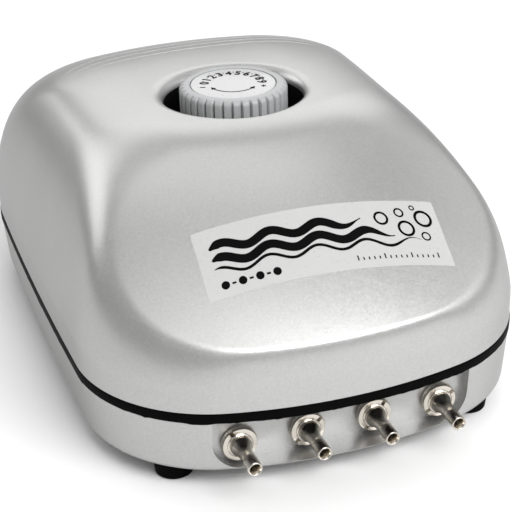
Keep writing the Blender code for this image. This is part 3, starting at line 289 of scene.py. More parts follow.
def box_middle(node):
    low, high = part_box(node)
    return (low + high) / 2


def four(name):
    """The names of four like nodes."""
    return [f"{name}_{i}" for i in range(1, 5)]


def places_of(name):
    """The plan places of four like nodes."""
    middles = [box_middle(node) for node in four(name)]
    return [(middle.x, middle.y, 0) for middle in middles]


nut_low, nut_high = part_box("outlet_nut_1")
nut_radius = (nut_high.z - nut_low.z) / 2
outlet_z = box_middle("outlet_nut_1").z
outlet_xs = [place[0] for place in places_of("outlet_nut")]
pocket_floor = nut_high.y + CAD_GAP
POCKET_CORNER = 9 * mm
POCKET_LIP = 1.2 * mm
POCKET_WALL_DEPTH = 8.8 * mm
OUTLET_HOLE = 3.3 * mm
FOOT_HOLE = 3 * mm
COLUMN_RADIUS = 5.5 * mm
SCREW_WELL = (3.6 * mm, 8 * mm)
INTAKE_RING = 6.05 * mm
INTAKE_HOLE = 1.6 * mm
GLAND_HOLE = 5.3 * mm
CLEAR = 3 * mm


def pocket_shape(grow, top):
    """The pocket from the front: straight up to the seam, round at its lower corners."""
    corner_z = base_bottom + POCKET_LIP + POCKET_CORNER
    radius = POCKET_CORNER + grow
    points = [(outlet_xs[0] - radius, top)]
    for x, start in ((outlet_xs[0], math.pi), (outlet_xs[-1], 1.5 * math.pi)):
        for turn in np.linspace(start, start + math.pi / 2, 17):
            points.append((x + radius * math.cos(turn), corner_z + radius * math.sin(turn)))
    points.append((outlet_xs[-1] + radius, top))
    return points


def slab(name, shape, near, far):
    return skin(name, [[(x, y, z) for x, z in shape] for y in (near, far)])


def apply_all(piece):
    """Turns a piece and its modifiers into one plain mesh."""
    bpy.context.view_layer.update()
    evaluated = piece.evaluated_get(bpy.context.evaluated_depsgraph_get())
    mesh = bpy.data.meshes.new_from_object(evaluated)
    piece.modifiers.clear()
    piece.data = mesh


def carve(piece, operation, *tools):
    for tool in tools:
        step = piece.modifiers.new("carve", "BOOLEAN")
        step.operation = operation
        step.object = tool
    apply_all(piece)
    for tool in tools:
        bpy.data.objects.remove(tool)


def cylinder(name, radius, start, end, sides=48):
    start, end = Vector(start), Vector(end)
    bm = bmesh.new()
    turn = Vector((0, 0, 1)).rotation_difference(end - start).to_matrix().to_4x4()
    bmesh.ops.create_cone(
        bm,
        cap_ends=True,
        segments=sides,
        radius1=radius,
        radius2=radius,
        depth=(end - start).length,
        matrix=Matrix.Translation((start + end) / 2) @ turn,
    )
    return outward(name, mesh_of(name, bm))


front_y = MIDDLE_Y - HALF_DEPTH
wall_shape = pocket_shape(POCKET_LIP * 0.8, BASE_TOP)
pocket_wall = slab("pocket_wall", wall_shape, front_y + POCKET_WALL_DEPTH, pocket_floor + BASE_WALL)
room_shape = pocket_shape(0, BASE_TOP + CLEAR)
pocket_room = slab("pocket_room", room_shape, front_y - 3 * CLEAR, pocket_floor)
outlet_holes = []
for x in outlet_xs:
    near = (x, pocket_floor - 5 * mm, outlet_z)
    far = (x, pocket_floor + 9 * mm, outlet_z)
    outlet_holes.append(cylinder("outlet_hole", OUTLET_HOLE, near, far))
carve(base_shell, "UNION", pocket_wall)
carve(base_shell, "DIFFERENCE", pocket_room, *outlet_holes)


def under_hole(x, y, radius, top, sides=48):
    """A cutter up through the floor of the base."""
    return cylinder("under_hole", radius, (x, y, 0), (x, y, top), sides)


under_holes = []
for foot_place, screw_place in zip(places_of("foot"), places_of("housing_screw")):
    x, y, _ = screw_place
    under_holes.append(under_hole(*foot_place[:2], FOOT_HOLE, base_bottom + 2 * FLOOR))
    column_foot = (x, y, base_bottom + FLOOR / 2)
    column = cylinder("column", COLUMN_RADIUS, column_foot, (x, y, SEAM_Z - 2 * CAD_GAP))
    carve(base_shell, "UNION", column)
    under_holes.append(under_hole(x, y, SCREW_WELL[0], base_bottom + SCREW_WELL[1]))
felt_middle = box_middle("intake_felt")
for i in range(6):
    x = felt_middle.x + INTAKE_RING * math.cos(i * math.pi / 3)
    y = felt_middle.y + INTAKE_RING * math.sin(i * math.pi / 3)
    under_holes.append(under_hole(x, y, INTAKE_HOLE, base_bottom + 2 * FLOOR, 24))
gland_low, gland_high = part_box("cord_gland")
gland_middle = box_middle("cord_gland")
through = Vector((0, (gland_high.y - gland_low.y) / 2 + CLEAR, 0))
gland_ends = (gland_middle - through, gland_middle + through)
under_holes.append(cylinder("gland_hole", GLAND_HOLE, *gland_ends))
carve(base_shell, "DIFFERENCE", *under_holes)
base_shell.data.shade_smooth()
base_shell.data.set_sharp_from_angle(angle=math.radians(30))
put_on(base_shell, "housing", silver_paint, "silver_paint", "base_housing")

# ---------------------------------------------------------------- cover gasket
# A black rubber band clamped between the shells all the way round, slightly crowned at its face
# and with a thin ragged flash along its lower edge.


def rubber_look(wire, place):
    dust = noise(wire, place, 220.0, 4.0)
    pits = noise(wire, place, 1500.0, 2.0)
    return {
        "Base_Color": dust.blend((0.0005, 0.0005, 0.0005, 1), (0.003, 0.003, 0.003, 1)),
        "Roughness": 0.5 + dust * 0.2,
        "Normal": bump(wire, pits + dust, 0.25, 0.0002),
    }


black_rubber = finish_of("black_rubber", rubber_look, Specular_IOR_Level=0.03)
GASKET_WIDTH = 5 * mm
flash = 0.16 * mm
wander = np.random.default_rng(7)
gasket_count = AROUND * 2
ragged = np.tile(wander.random(gasket_count), 3)
ragged = np.convolve(ragged, np.ones(4) / 4, "same")[gasket_count : 2 * gasket_count]
ragged = np.clip((ragged - 0.5) * 3, 0, 1)


def gasket_ring(inset, z, fray=0.0):
    ring = flat_ring(inset, z, gasket_count)
    ring[:, 2] -= ragged * fray
    return ring


gasket_tall = SEAM_Z - BASE_TOP
gasket_rings = [gasket_ring(GASKET_WIDTH, SEAM_Z), gasket_ring(0.25 * mm, SEAM_Z)]
for t in np.linspace(0.04, 0.9, 9):
    crown = 0.22 * mm * (1 - (2 * t - 1) ** 4)
    gasket_rings.append(gasket_ring(0.02 * mm - crown, SEAM_Z - gasket_tall * t))
gasket_rings += [
    gasket_ring(-0.15 * mm, BASE_TOP - 0.02 * mm, flash * 2),
    gasket_ring(-0.02 * mm, BASE_TOP - 0.08 * mm, flash * 3),
    gasket_ring(0.35 * mm, BASE_TOP + 0.02 * mm),
    gasket_ring(GASKET_WIDTH, BASE_TOP),
]
gasket = skin("gasket_band", gasket_rings, closed=True)
put_on(gasket, "housing", black_rubber, "black_rubber", "cover_gasket")

# ---------------------------------------------------------------- feet and housing screws
# Four moulded rubber feet pushed through the floor of the base, and four cross-head screws deep in
# their wells that pull the two shells together. Like pieces are copies of one, set at four places.


def lathe(name, profile, place=(0, 0, 0), axis=(0, 0, 1), sides=64, bored=False):
    """A turned piece: profile lists (radius, distance along the axis); bored joins its two ends."""
    along = Vector(axis).normalized()
    side = along.orthogonal().normalized()
    other = along.cross(side)
    turns = [2 * math.pi * i / sides for i in range(sides)]
    rings = [
        [
            Vector(place) + along * far + (side * math.cos(t) + other * math.sin(t)) * radius
            for t in turns
        ]
        for radius, far in profile
    ]
    return skin(name, rings, closed=bored)


def arc(centre_r, centre_z, radius, start, stop, steps=6):
    """Profile points round a corner, from start to stop degrees."""
    turns = [math.radians(start + (stop - start) * i / steps) for i in range(steps + 1)]
    return [(centre_r + radius * math.cos(t), centre_z + radius * math.sin(t)) for t in turns]


def tree_of(name, inputs):
    """An empty node tree with named inputs, as (tree, Wire, its input sockets)."""
    tree = bpy.data.node_groups.new(name, "GeometryNodeTree")
    tree.interface.new_socket("Geometry", in_out="INPUT", socket_type="NodeSocketGeometry")
    for label, kind in inputs.items():
        tree.interface.new_socket(label, in_out="INPUT", socket_type="NodeSocket" + kind)
    tree.interface.new_socket("Geometry", in_out="OUTPUT", socket_type="NodeSocketGeometry")
    wire = Wire(tree)
    start = tree.nodes.new("NodeGroupInput")
    return tree, wire, {s.name: Wire(tree, s) for s in start.outputs if s.name}


def finish_tree(tree, wire, geometry, look):
    """Ends a tree in Realize Instances and Set Material."""
    made = wire.put("GeometryNodeRealizeInstances", Geometry=geometry)
    made = wire.put("GeometryNodeSetMaterial", Geometry=made, Material=look)
    end = tree.nodes.new("NodeGroupOutput")
    tree.links.new(made.socket, end.inputs["Geometry"])


def run_tree(piece, tree, **values):
    """Runs a tree on a piece, which then keeps the result as its plain mesh."""
    step = piece.modifiers.new(tree.name, "NODES")
    step.node_group = tree
    for item in tree.interface.items_tree:
        if item.in_out == "INPUT" and item.name in values:
            step[item.identifier] = values[item.name]
    apply_all(piece)


copies_tree, wire, given = tree_of("copies", {"Pattern": "Object", "Look": "Material"})
pattern = wire.put("GeometryNodeObjectInfo", out=4, Object=given["Pattern"])
turn_of = wire.put("GeometryNodeInputNamedAttribute", {"data_type": "FLOAT_VECTOR"}, Name="turn")
placed = wire.put(
    "GeometryNodeInstanceOnPoints", Points=given["Geometry"], Instance=pattern, Rotation=turn_of
)
finish_tree(copies_tree, wire, placed, given["Look"])


def copies(name, pattern, places, look, turns=None):
    """One mesh of a pattern's copies, set at places and turned by Euler angles."""
    mesh = bpy.data.meshes.new(name)
    mesh.from_pydata([tuple(p) for p in places], [], [])
    turn = mesh.attributes.new("turn", "FLOAT_VECTOR", "POINT")
    for i, angles in enumerate(turns or [(0, 0, 0)] * len(places)):
        turn.data[i].vector = angles
    piece = added(name, mesh)
    run_tree(piece, copies_tree, Pattern=pattern, Look=look)
    bpy.data.objects.remove(pattern)
    piece.data.set_sharp_from_angle(angle=math.radians(35))
    return piece


foot_low, foot_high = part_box("foot_1")
foot_radius = (foot_high.x - foot_low.x) / 2
FOOT_EDGE = 1 * mm
foot = lathe(
    "foot_pattern",
    [(0.2 * mm, 0), (foot_radius * 0.45, 0), (foot_radius * 0.5, 0.35 * mm), (foot_radius * 0.62, 0)]
    + arc(foot_radius - 0.4 * mm - FOOT_EDGE, FOOT_EDGE, FOOT_EDGE, -90, 0)
    + arc(foot_radius - FOOT_EDGE / 2, base_bottom - 0.9 * mm, FOOT_EDGE / 2, 0, 90)
    + [(2.7 * mm, base_bottom - 0.3 * mm), (2.7 * mm, foot_high.z - 1 * mm), (0.2 * mm, foot_high.z)],
)
feet = copies("feet", foot, places_of("foot"), black_rubber)
put_on(feet, "housing", black_rubber, "black_rubber", *four("foot"))


def steel_look(wire, place):
    turned_marks = noise(wire, place, 700.0, 2.0)
    stain = noise(wire, place, 60.0, 3.0)
    return {
        "Base_Color": stain.blend((0.42, 0.41, 0.40, 1), (0.60, 0.59, 0.57, 1)),
        "Roughness": 0.25 + turned_marks * 0.2,
        "Normal": bump(wire, turned_marks, 0.1, 0.0001),
    }


steel = finish_of("zinc_plated_steel", steel_look, Metallic=1.0)
screw_low, screw_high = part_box("housing_screw_1")
head_radius = (screw_high.x - screw_low.x) / 2
head_z = screw_low.z
HEAD_TALL = 2.4 * mm
SHANK = 1.75 * mm
CROSS = 0.9 * mm
screw = lathe(
    "screw_pattern",
    [(0.1 * mm, head_z), (head_radius * 0.55, head_z + 0.08 * mm)]
    + arc(head_radius - 0.9 * mm, head_z + 1.1 * mm, 0.9 * mm, -70, 0)
    + [(head_radius, head_z + HEAD_TALL), (SHANK, head_z + HEAD_TALL), (SHANK, screw_high.z - 2 * mm)]
    + [(0.1 * mm, screw_high.z)],
    sides=32,
)
for turn in (0, math.pi / 2):
    blade = slab(
        "cross_blade",
        [(-2 * mm, head_z - 1 * mm), (2 * mm, head_z - 1 * mm), (0.8 * mm, head_z + 1.6 * mm)]
        + [(-0.8 * mm, head_z + 1.6 * mm)],
        -CROSS / 2,
        CROSS / 2,
    )
    blade.data.transform(Matrix.Rotation(turn, 4, "Z"))
    carve(screw, "DIFFERENCE", blade)
screw_turns = [(0, 0, t) for t in (0.4, 1.3, 0.1, 0.9)]
screws = copies("housing_screws", screw, places_of("housing_screw"), steel, screw_turns)
put_on(screws, "housing", steel, "steel", *four("housing_screw"))

# ---------------------------------------------------------------- electromagnet, arms and pump heads
# Inside: a laminated core with its wound bobbin swings two magnet arms, and each arm works a rubber
# diaphragm on a pump head with two flap valves. The pieces keep their shapes and get real finishes.


def moulded(name, dark, light, rough=0.45, grain=600.0, depth=0.08, **even):
    """A moulded or sprayed finish: faint cloudiness, fine grain and an uneven gloss."""

    def look(wire, place):
        cloud = noise(wire, place, 40.0, 3.0)
        fine = noise(wire, place, grain, 3.0)
        return {
            "Base_Color": (cloud * 0.6 + fine * 0.4).blend((*dark, 1), (*light, 1)),
            "Roughness": rough + (fine - 0.5) * 0.16,
            "Normal": bump(wire, fine, depth, 0.0002),
        }

    return finish_of(name, look, **even)


def banded(name, dark, light, axis, spacing, **even):
    """Fine parallel lines across an axis, as on stacked laminations or wound wire."""

    def look(wire, place):
        lines = wire.put(
            "ShaderNodeTexWave",
            {"bands_direction": axis, "wave_profile": "SIN"},
            out=1,
            Vector=place,
            Scale=1 / (spacing * 3.2),
            Distortion=0.3,
        )
        stain = noise(wire, place, 90.0, 3.0)
        return {
            "Base_Color": (lines * 0.7 + stain * 0.3).blend((*dark, 1), (*light, 1)),
            "Roughness": 0.3 + stain * 0.3,
            "Normal": bump(wire, lines, 0.5, 0.0002),
        }

    return finish_of(name, look, **even)


def solder_side(wire, place):
    speck = wire.put("ShaderNodeTexVoronoi", {"feature": "F1"}, Vector=place, Scale=260.0)
    pads = speck.maths("LESS_THAN", speck, 0.28)
    cloud = noise(wire, place, 120.0, 3.0)
    return {
        "Base_Color": pads.blend((0.01, 0.12, 0.04, 1), (0.55, 0.54, 0.5, 1)),
        "Metallic": pads * 0.9,
        "Roughness": 0.3 + cloud * 0.2,
    }


core_steel = banded("core_laminations", (0.16, 0.16, 0.17), (0.42, 0.42, 0.43), "Z", 0.5 * mm, Metallic=1.0)
copper = banded("enamelled_copper", (0.33, 0.09, 0.03), (0.72, 0.27, 0.10), "Y", 0.35 * mm, Metallic=0.9)
ferrite = moulded("ferrite", (0.03, 0.03, 0.035), (0.08, 0.08, 0.085), 0.5)
board_green = finish_of("circuit_board", solder_side)
white_plastic = moulded("white_plastic", (0.74, 0.74, 0.72), (0.84, 0.84, 0.83), 0.3)
black_plastic = moulded(
    "black_plastic", (0.008, 0.008, 0.008), (0.02, 0.02, 0.02), 0.42, Specular_IOR_Level=0.3
)
inner_grey = moulded("grey_plastic", (0.20, 0.21, 0.22), (0.30, 0.31, 0.32), 0.48)
clear_hose = moulded("clear_hose", (0.62, 0.66, 0.66), (0.80, 0.84, 0.84), 0.15, Alpha=0.55)
felt = moulded("filter_felt", (0.22, 0.22, 0.21), (0.62, 0.62, 0.59), 0.95, 2500.0, 1.0)


def both(*names):
    """The left and right nodes of each name."""
    return [f"{name}_{side}" for name in names for side in ("left", "right")]


inner_screws = [f"{name}_{i}" for name in ["core_screw"] + both("head_screw") for i in (1, 2)]
inner_looks = {
    core_steel: ["magnet_core"],
    copper: ["coil_winding"],
    white_plastic: ["coil_bobbin"],
    ferrite: both("arm_magnet"),
    board_green: ["control_board"],
    black_plastic: ["potentiometer_body", "air_manifold"] + both("diaphragm_hub"),
    felt: ["intake_felt"],
    clear_hose: both("air_hose"),
    steel: inner_screws + ["potentiometer_shaft", "potentiometer_nut"] + both("swing_arm"),
    inner_grey: both("pump_head", "head_cover", "arm_pivot"),
    black_rubber: both("diaphragm", "intake_flap", "outlet_flap"),
}
for look, names in inner_looks.items():
    for name in names:
        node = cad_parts[name]
        for place in node.material_slots:
            place.material = look
        if not node.material_slots:
            node.data.materials.append(look)

# ---------------------------------------------------------------- air outlets
# Four nickel-plated brass hose nipples: a countersunk tip, a barrel, a waist, a bell and a collar.
# A thin knurled nut with two spanner slots clamps each one against the floor of the pocket.


def nickel_look(wire, place):
    tarnish = noise(wire, place, 160.0, 4.0)
    marks = noise(wire, place, 1400.0, 2.0)
    return {
        "Base_Color": tarnish.blend((0.5, 0.46, 0.4, 1), (0.74, 0.7, 0.64, 1)),
        "Roughness": 0.12 + tarnish * 0.14 + marks * 0.05,
        "Normal": bump(wire, marks, 0.06, 0.0001),
    }


nickel = finish_of("nickel_plate", nickel_look, Metallic=1.0)
nipple_low, nipple_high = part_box("outlet_nipple_1")
nut_face = nut_low.y
nut_back = nut_high.y
TIP = 2.3 * mm
WAIST = 0.12 * mm
BORE = 1.3 * mm
THREAD = 3 * mm
nipple_long = nipple_high.y - nipple_low.y
to_nut = nut_face - nipple_low.y
bell = [
    (TIP - WAIST + (WAIST + 1.08 * mm) * s**1.5, to_nut - (5.5 - 4.15 * s**0.85) * mm)
    for s in np.linspace(0, 1, 12)
]
nipple_profile = (
    [(BORE, nipple_long), (BORE, 1.5 * mm), (1.8 * mm, 0.12 * mm), (1.9 * mm, 0.02 * mm)]
    + arc(TIP - 0.3 * mm, 0.3 * mm, 0.3 * mm, -80, 0, 4)
    + [(TIP, 5.1 * mm), (TIP - WAIST / 4, 5.3 * mm), (TIP - WAIST, 5.5 * mm)]
    + bell
    + arc(TIP + 0.78 * mm, to_nut - 0.95 * mm, 0.35 * mm, 0, 80, 4)
    + [(TIP + 0.75 * mm, to_nut - 0.55 * mm)]
    + [(TIP + 1.45 * mm, to_nut - 0.55 * mm), (TIP + 1.75 * mm, to_nut - 0.3 * mm)]
    + [(TIP + 1.75 * mm, to_nut - 0.04 * mm), (THREAD, to_nut - 0.02 * mm)]
    + [(THREAD, nipple_long - 4 * mm - 2.2 * mm), (THREAD + 2 * mm, nipple_long - 4 * mm - 2.2 * mm)]
    + [(THREAD + 2 * mm, nipple_long - 4 * mm), (TIP, nipple_long - 4 * mm), (TIP, nipple_long)]
)
nipple = lathe("nipple_pattern", nipple_profile, axis=(0, 1, 0), bored=True)
nipple_places = [(x, nipple_low.y, outlet_z) for x in outlet_xs]
nipples = copies("outlet_nipples", nipple, nipple_places, nickel)
put_on(nipples, "housing", nickel, "nickel", *four("outlet_nipple"))

# Grooves run along the axis: the tree pushes points in by a V that repeats round Z.
ribs_tree, wire, given = tree_of(
    "ribs", {"Ribs": "Float", "Depth": "Float", "Share": "Float", "Look": "Material"}
)
position = wire.put("GeometryNodeInputPosition")
parts = [wire.put("ShaderNodeSeparateXYZ", out=i, Vector=position) for i in range(3)]
angle = wire.maths("ARCTAN2", parts[1], parts[0])
phase = wire.maths("FRACT", angle * given["Ribs"] * (1 / (2 * math.pi)) + 0.5, 0.0)
from_middle = wire.maths("ABSOLUTE", phase - 0.5, 0.0) * 2
vee = wire.maths("MAXIMUM", 1 - wire.maths("DIVIDE", from_middle, given["Share"]), 0.0)
weight = wire.put("GeometryNodeInputNamedAttribute", {"data_type": "FLOAT"}, Name="ribbed")
flat = wire.put("ShaderNodeCombineXYZ", X=parts[0], Y=parts[1])
inward = wire.put("ShaderNodeVectorMath", {"operation": "NORMALIZE"}, _0=flat)
push = wire.put(
    "ShaderNodeVectorMath", {"operation": "SCALE"}, _0=inward, Scale=0 - vee * weight * given["Depth"]
)
moved = wire.put("GeometryNodeSetPosition", Geometry=given["Geometry"], Offset=push)
finish_tree(ribs_tree, wire, moved, given["Look"])


def ribbed_lathe(name, profile, ribs, depth, share, look, per_rib=8, bored=True):
    """A piece turned about Z whose profile lists (radius, height, how fully the ribs are cut)."""
    sides = int(ribs * per_rib)
    piece = lathe(name, [row[:2] for row in profile], sides=sides, bored=bored)
    cut = piece.data.attributes.new("ribbed", "FLOAT", "POINT")
    for i, (_, _, amount) in enumerate(profile):
        for j in range(sides):
            cut.data[i * sides + j].value = amount
    run_tree(piece, ribs_tree, Ribs=float(ribs), Depth=depth, Share=share, Look=look)
    piece.data.shade_smooth()
    piece.data.set_sharp_from_angle(angle=math.radians(28))
    return piece


nut_tall = nut_back - nut_face
KNURLS = 40
KNURL_DEPTH = 0.38 * mm
KNURL_SHARE = 0.9
KNURL_EDGE = 0.3 * mm
NUT_TURNS = (60, 140, 126, 146)
nut = ribbed_lathe(
    "nut_pattern",
    [(THREAD + 0.25 * mm, 0, 0), (THREAD + 0.55 * mm, nut_tall, 0), (THREAD + 0.75 * mm, nut_tall, 0)]
    + [(nut_radius - 2 * KNURL_EDGE, nut_tall, 0), (nut_radius - KNURL_EDGE, nut_tall - 0.1 * mm, 0.1)]
    + [(nut_radius, nut_tall - 2 * KNURL_EDGE, 1), (nut_radius, 2 * KNURL_EDGE, 1)]
    + [(nut_radius - KNURL_EDGE, 0, 0.2)],
    KNURLS,
    KNURL_DEPTH,
    KNURL_SHARE,
    nickel,
    per_rib=6,
)
SLOT = 1.3 * mm
SLOT_REACH = 9 * mm
slot_shape = [(-SLOT_REACH, -SLOT / 2), (SLOT_REACH, -SLOT / 2)]
slot_shape += [(SLOT_REACH, SLOT / 2), (-SLOT_REACH, SLOT / 2)]
slot_heights = (nut_tall * 0.45, nut_tall + 1 * mm)
slot_bar = skin("slot_bar", [[(x, y, z) for x, y in slot_shape] for z in slot_heights])
carve(nut, "DIFFERENCE", slot_bar)
nut.data.transform(Matrix.Rotation(math.pi / 2, 4, "X"))
nut_places = [(x, nut_back, outlet_z) for x in outlet_xs]
nut_turns = [(0, math.radians(t), 0) for t in NUT_TURNS]
nuts = copies("outlet_nuts", nut, nut_places, nickel, nut_turns)
put_on(nuts, "housing", nickel, "nickel", *four("outlet_nut"))

# ---------------------------------------------------------------- top cover
# The upper shell: a dome with steep sides and a round back, trimmed at the front by a long sloping
# hood that meets the upright skirt in a crease and blends more widely at the front corners. A well
# in its crown holds the knob, with a dished lip that is narrow at the front and wide at the back.

knob_low, knob_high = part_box("control_knob")
CROWN = knob_high.z - 2.1 * mm
SKIRT = SEAM_Z + 8.9 * mm
CREASE = SEAM_Z + 17.3 * mm
HOOD_LENGTH = 80 * mm
HOOD_BLEND = 3.9 * mm
CORNER_BLEND = 6 * mm
CORNER_FROM = 26 * mm
DOME_Y = MIDDLE_Y - 40 * mm
COVER_WALL = 2.4 * mm
HOOD_POWER = (1.43, 1.01)
SIDE_POWER = (5.96, 1.2)
BACK_POWER = (4.26, 2.24)
KNOB_X = (knob_low.x + knob_high.x) / 2
KNOB_Y = (knob_low.y + knob_high.y) / 2
WELL_RADIUS = 24 * mm
WELL_LIP_FRONT = 2 * mm
WELL_LIP_BACK = 4.8 * mm
LIP_SAG = 0.75
BUSH_HOLE = 4.8 * mm
# The painted shade in the knob's well starts this far inside the lip's edge and this far below the crown.
WELL_SHADE_GAP = 0.4 * mm
WELL_SHADE_DEPTH = 4.2 * mm
WELL_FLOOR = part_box("potentiometer_nut")[0].z - CAD_GAP

edge_points = housing_outline(0, 2880) + [0, MIDDLE_Y]
edge_angles = np.arctan2(edge_points[:, 1] - DOME_Y, edge_points[:, 0])
edge_reach = np.hypot(edge_points[:, 0], edge_points[:, 1] - DOME_Y)
edge_sweep = np.sin(
    np.arctan2((edge_points[:, 1] - MIDDLE_Y) / HALF_DEPTH, edge_points[:, 0] / HALF_WIDTH)
)


def smooth_min(a, b, blend):
    share = np.clip(0.5 + 0.5 * (b - a) / blend, 0, 1)
    return b * (1 - share) + a * share - blend * share * (1 - share)


def cover_height(x, y):
    """Height of the cover's outer skin over a point of the plan."""
    angle = np.arctan2(y - DOME_Y, x)
    reach = np.interp(angle, edge_angles, edge_reach, period=2 * math.pi)
    sweep = np.interp(angle, edge_angles, edge_sweep, period=2 * math.pi)
    ratio = np.clip(np.hypot(x, y - DOME_Y) / reach, 0, 1)
    back = np.clip(sweep, 0, 1)
    back = back * back * (3 - 2 * back)
    power = SIDE_POWER[0] + (BACK_POWER[0] - SIDE_POWER[0]) * back
    root = SIDE_POWER[1] + (BACK_POWER[1] - SIDE_POWER[1]) * back
    dome = SKIRT + (CROWN - SKIRT) * np.clip(1 - ratio**power, 0, 1) ** (1 / root)
    centre_y = MIDDLE_Y - HALF_DEPTH + END_RADIUS
    from_front = np.where(y > centre_y, HOOD_LENGTH, END_RADIUS - np.hypot(x, y - centre_y))
    climb = np.clip(1 - from_front / HOOD_LENGTH, 0, 1)
    rise = CROWN + HOOD_BLEND / 4 - CREASE
    hood = CREASE + rise * (1 - climb ** HOOD_POWER[0]) ** (1 / HOOD_POWER[1])
    corner = np.clip((np.abs(x) - CORNER_FROM) / CORNER_FROM, 0, 1)
    return smooth_min(dome, hood, HOOD_BLEND + CORNER_BLEND * corner * corner * (3 - 2 * corner))


COVER_ROWS = 190
COVER_AROUND = 360
rim = housing_outline(0, COVER_AROUND) + [0, MIDDLE_Y]
spokes = np.arctan2(rim[:, 1] - KNOB_Y, rim[:, 0] - KNOB_X)
well_lip = WELL_LIP_FRONT + (WELL_LIP_BACK - WELL_LIP_FRONT) * np.clip(0.6 + 0.8 * np.sin(spokes), 0, 1)
lip_edge = WELL_RADIUS + well_lip
inner_edge = np.stack([KNOB_X + lip_edge * np.cos(spokes), KNOB_Y + lip_edge * np.sin(spokes)], 1)


def cover_spoke_rows():
    """Rows of the outer skin from the well's lip to the seam, evenly spaced along each spoke."""
    t = 1 - (1 - np.linspace(0, 1, 900)) ** 2.2
    x = inner_edge[:, 0, None] + (rim[:, 0] - inner_edge[:, 0])[:, None] * t
    y = inner_edge[:, 1, None] + (rim[:, 1] - inner_edge[:, 1])[:, None] * t
    z = cover_height(x, y)
    skirt = np.linspace(0, 1, 40)[1:]
    z_skirt = z[:, -1:] + (SEAM_Z - z[:, -1:]) * skirt
    x = np.concatenate([x, np.repeat(x[:, -1:], len(skirt), 1)], 1)
    y = np.concatenate([y, np.repeat(y[:, -1:], len(skirt), 1)], 1)
    z = np.concatenate([z, z_skirt], 1)
    points = np.stack([x, y, z], -1)
    run = np.cumsum(np.linalg.norm(np.diff(points, axis=1), axis=2), axis=1)
    run = np.concatenate([np.zeros((len(run), 1)), run], 1)
    rows = np.empty((COVER_ROWS, COVER_AROUND, 3))
    for i in range(COVER_AROUND):
        at = np.linspace(0, run[i, -1], COVER_ROWS)
        for axis in range(3):
            rows[:, i, axis] = np.interp(at, run[i], points[i, :, axis])
    return rows


outer_rows = cover_spoke_rows()
well_ring = np.stack([np.cos(spokes), np.sin(spokes)], 1)


def round_ring(radius, z):
    """A ring about the knob's axis, in step with the cover's spokes."""
    height = np.broadcast_to(z, (COVER_AROUND,))
    x, y = well_ring.T * radius
    return np.column_stack([KNOB_X + x, KNOB_Y + y, height])


lip_start = outer_rows[0][:, 2]
lip_rows = []
for t in np.linspace(0, math.pi / 2, 14)[1:]:
    radius = WELL_RADIUS + well_lip * (1 - math.sin(t))
    lip_rows.append(round_ring(radius, lip_start - well_lip * LIP_SAG * (1 - math.cos(t))))
well_rows = [round_ring(WELL_RADIUS, z) for z in np.linspace(CROWN - 6 * mm, WELL_FLOOR + 1 * mm, 6)]
well_rows += [
    round_ring(WELL_RADIUS - 0.3 * mm, WELL_FLOOR + 0.3 * mm),
    round_ring(WELL_RADIUS - 1 * mm, WELL_FLOOR),
    round_ring(BUSH_HOLE, WELL_FLOOR),
    round_ring(BUSH_HOLE, WELL_FLOOR - COVER_WALL),
    round_ring(WELL_RADIUS + COVER_WALL, WELL_FLOOR - COVER_WALL),
    round_ring(WELL_RADIUS + COVER_WALL, CROWN - 8 * mm),
    round_ring(WELL_RADIUS + COVER_WALL + 3 * mm, CROWN - 3.4 * mm),
]
inner_rows = []
cover_middle = np.array([KNOB_X, MIDDLE_Y])
for row in outer_rows[8:-1:10]:
    shrunk = row.copy()
    shrunk[:, :2] = cover_middle + (shrunk[:, :2] - cover_middle) * (1 - COVER_WALL / HALF_WIDTH)
    shrunk[:, 2] = np.maximum(shrunk[:, 2] - COVER_WALL, SEAM_Z)
    inner_rows.append(shrunk)
inner_bottom = inner_rows[-1].copy()
inner_bottom[:, 2] = SEAM_Z
cover = skin(
    "cover_shell",
    list(outer_rows[::-1]) + lip_rows + well_rows + inner_rows + [inner_bottom],
    closed=True,
)


def cover_look(wire, place):
    """The silver paint, with painted shade in the knob's well: below the lip the wall is coloured near black
    and not metallic in place of its shade.
    """
    looks = silver_look(wire, place)
    across, along, up = [wire.put("ShaderNodeSeparateXYZ", out=axis, _0=place) for axis in range(3)]
    across = across - KNOB_X
    along = along - KNOB_Y
    # Painted shade: this mask is zero on the well wall below the lip, which then gets a near-black,
    # non-metallic colour standing in for shade.
    outside = across * across + along * along > (WELL_RADIUS + WELL_SHADE_GAP) ** 2
    silver_outside_well_shade = wire.maths("MAXIMUM", outside, up > CROWN - WELL_SHADE_DEPTH)
    looks["Base_Color"] = silver_outside_well_shade.blend((0.004, 0.004, 0.004, 1), looks["Base_Color"])
    looks["Metallic"] = silver_outside_well_shade * PAINT_METALLIC
    return looks


# The cover's material: silver paint, with painted shade on the wall of the knob's well.
cover_paint_and_well_shade = finish_of("cover_paint_and_well_shade", cover_look, **PAINT_COAT)
put_on(cover, "housing", cover_paint_and_well_shade, "silver_paint", "top_cover")

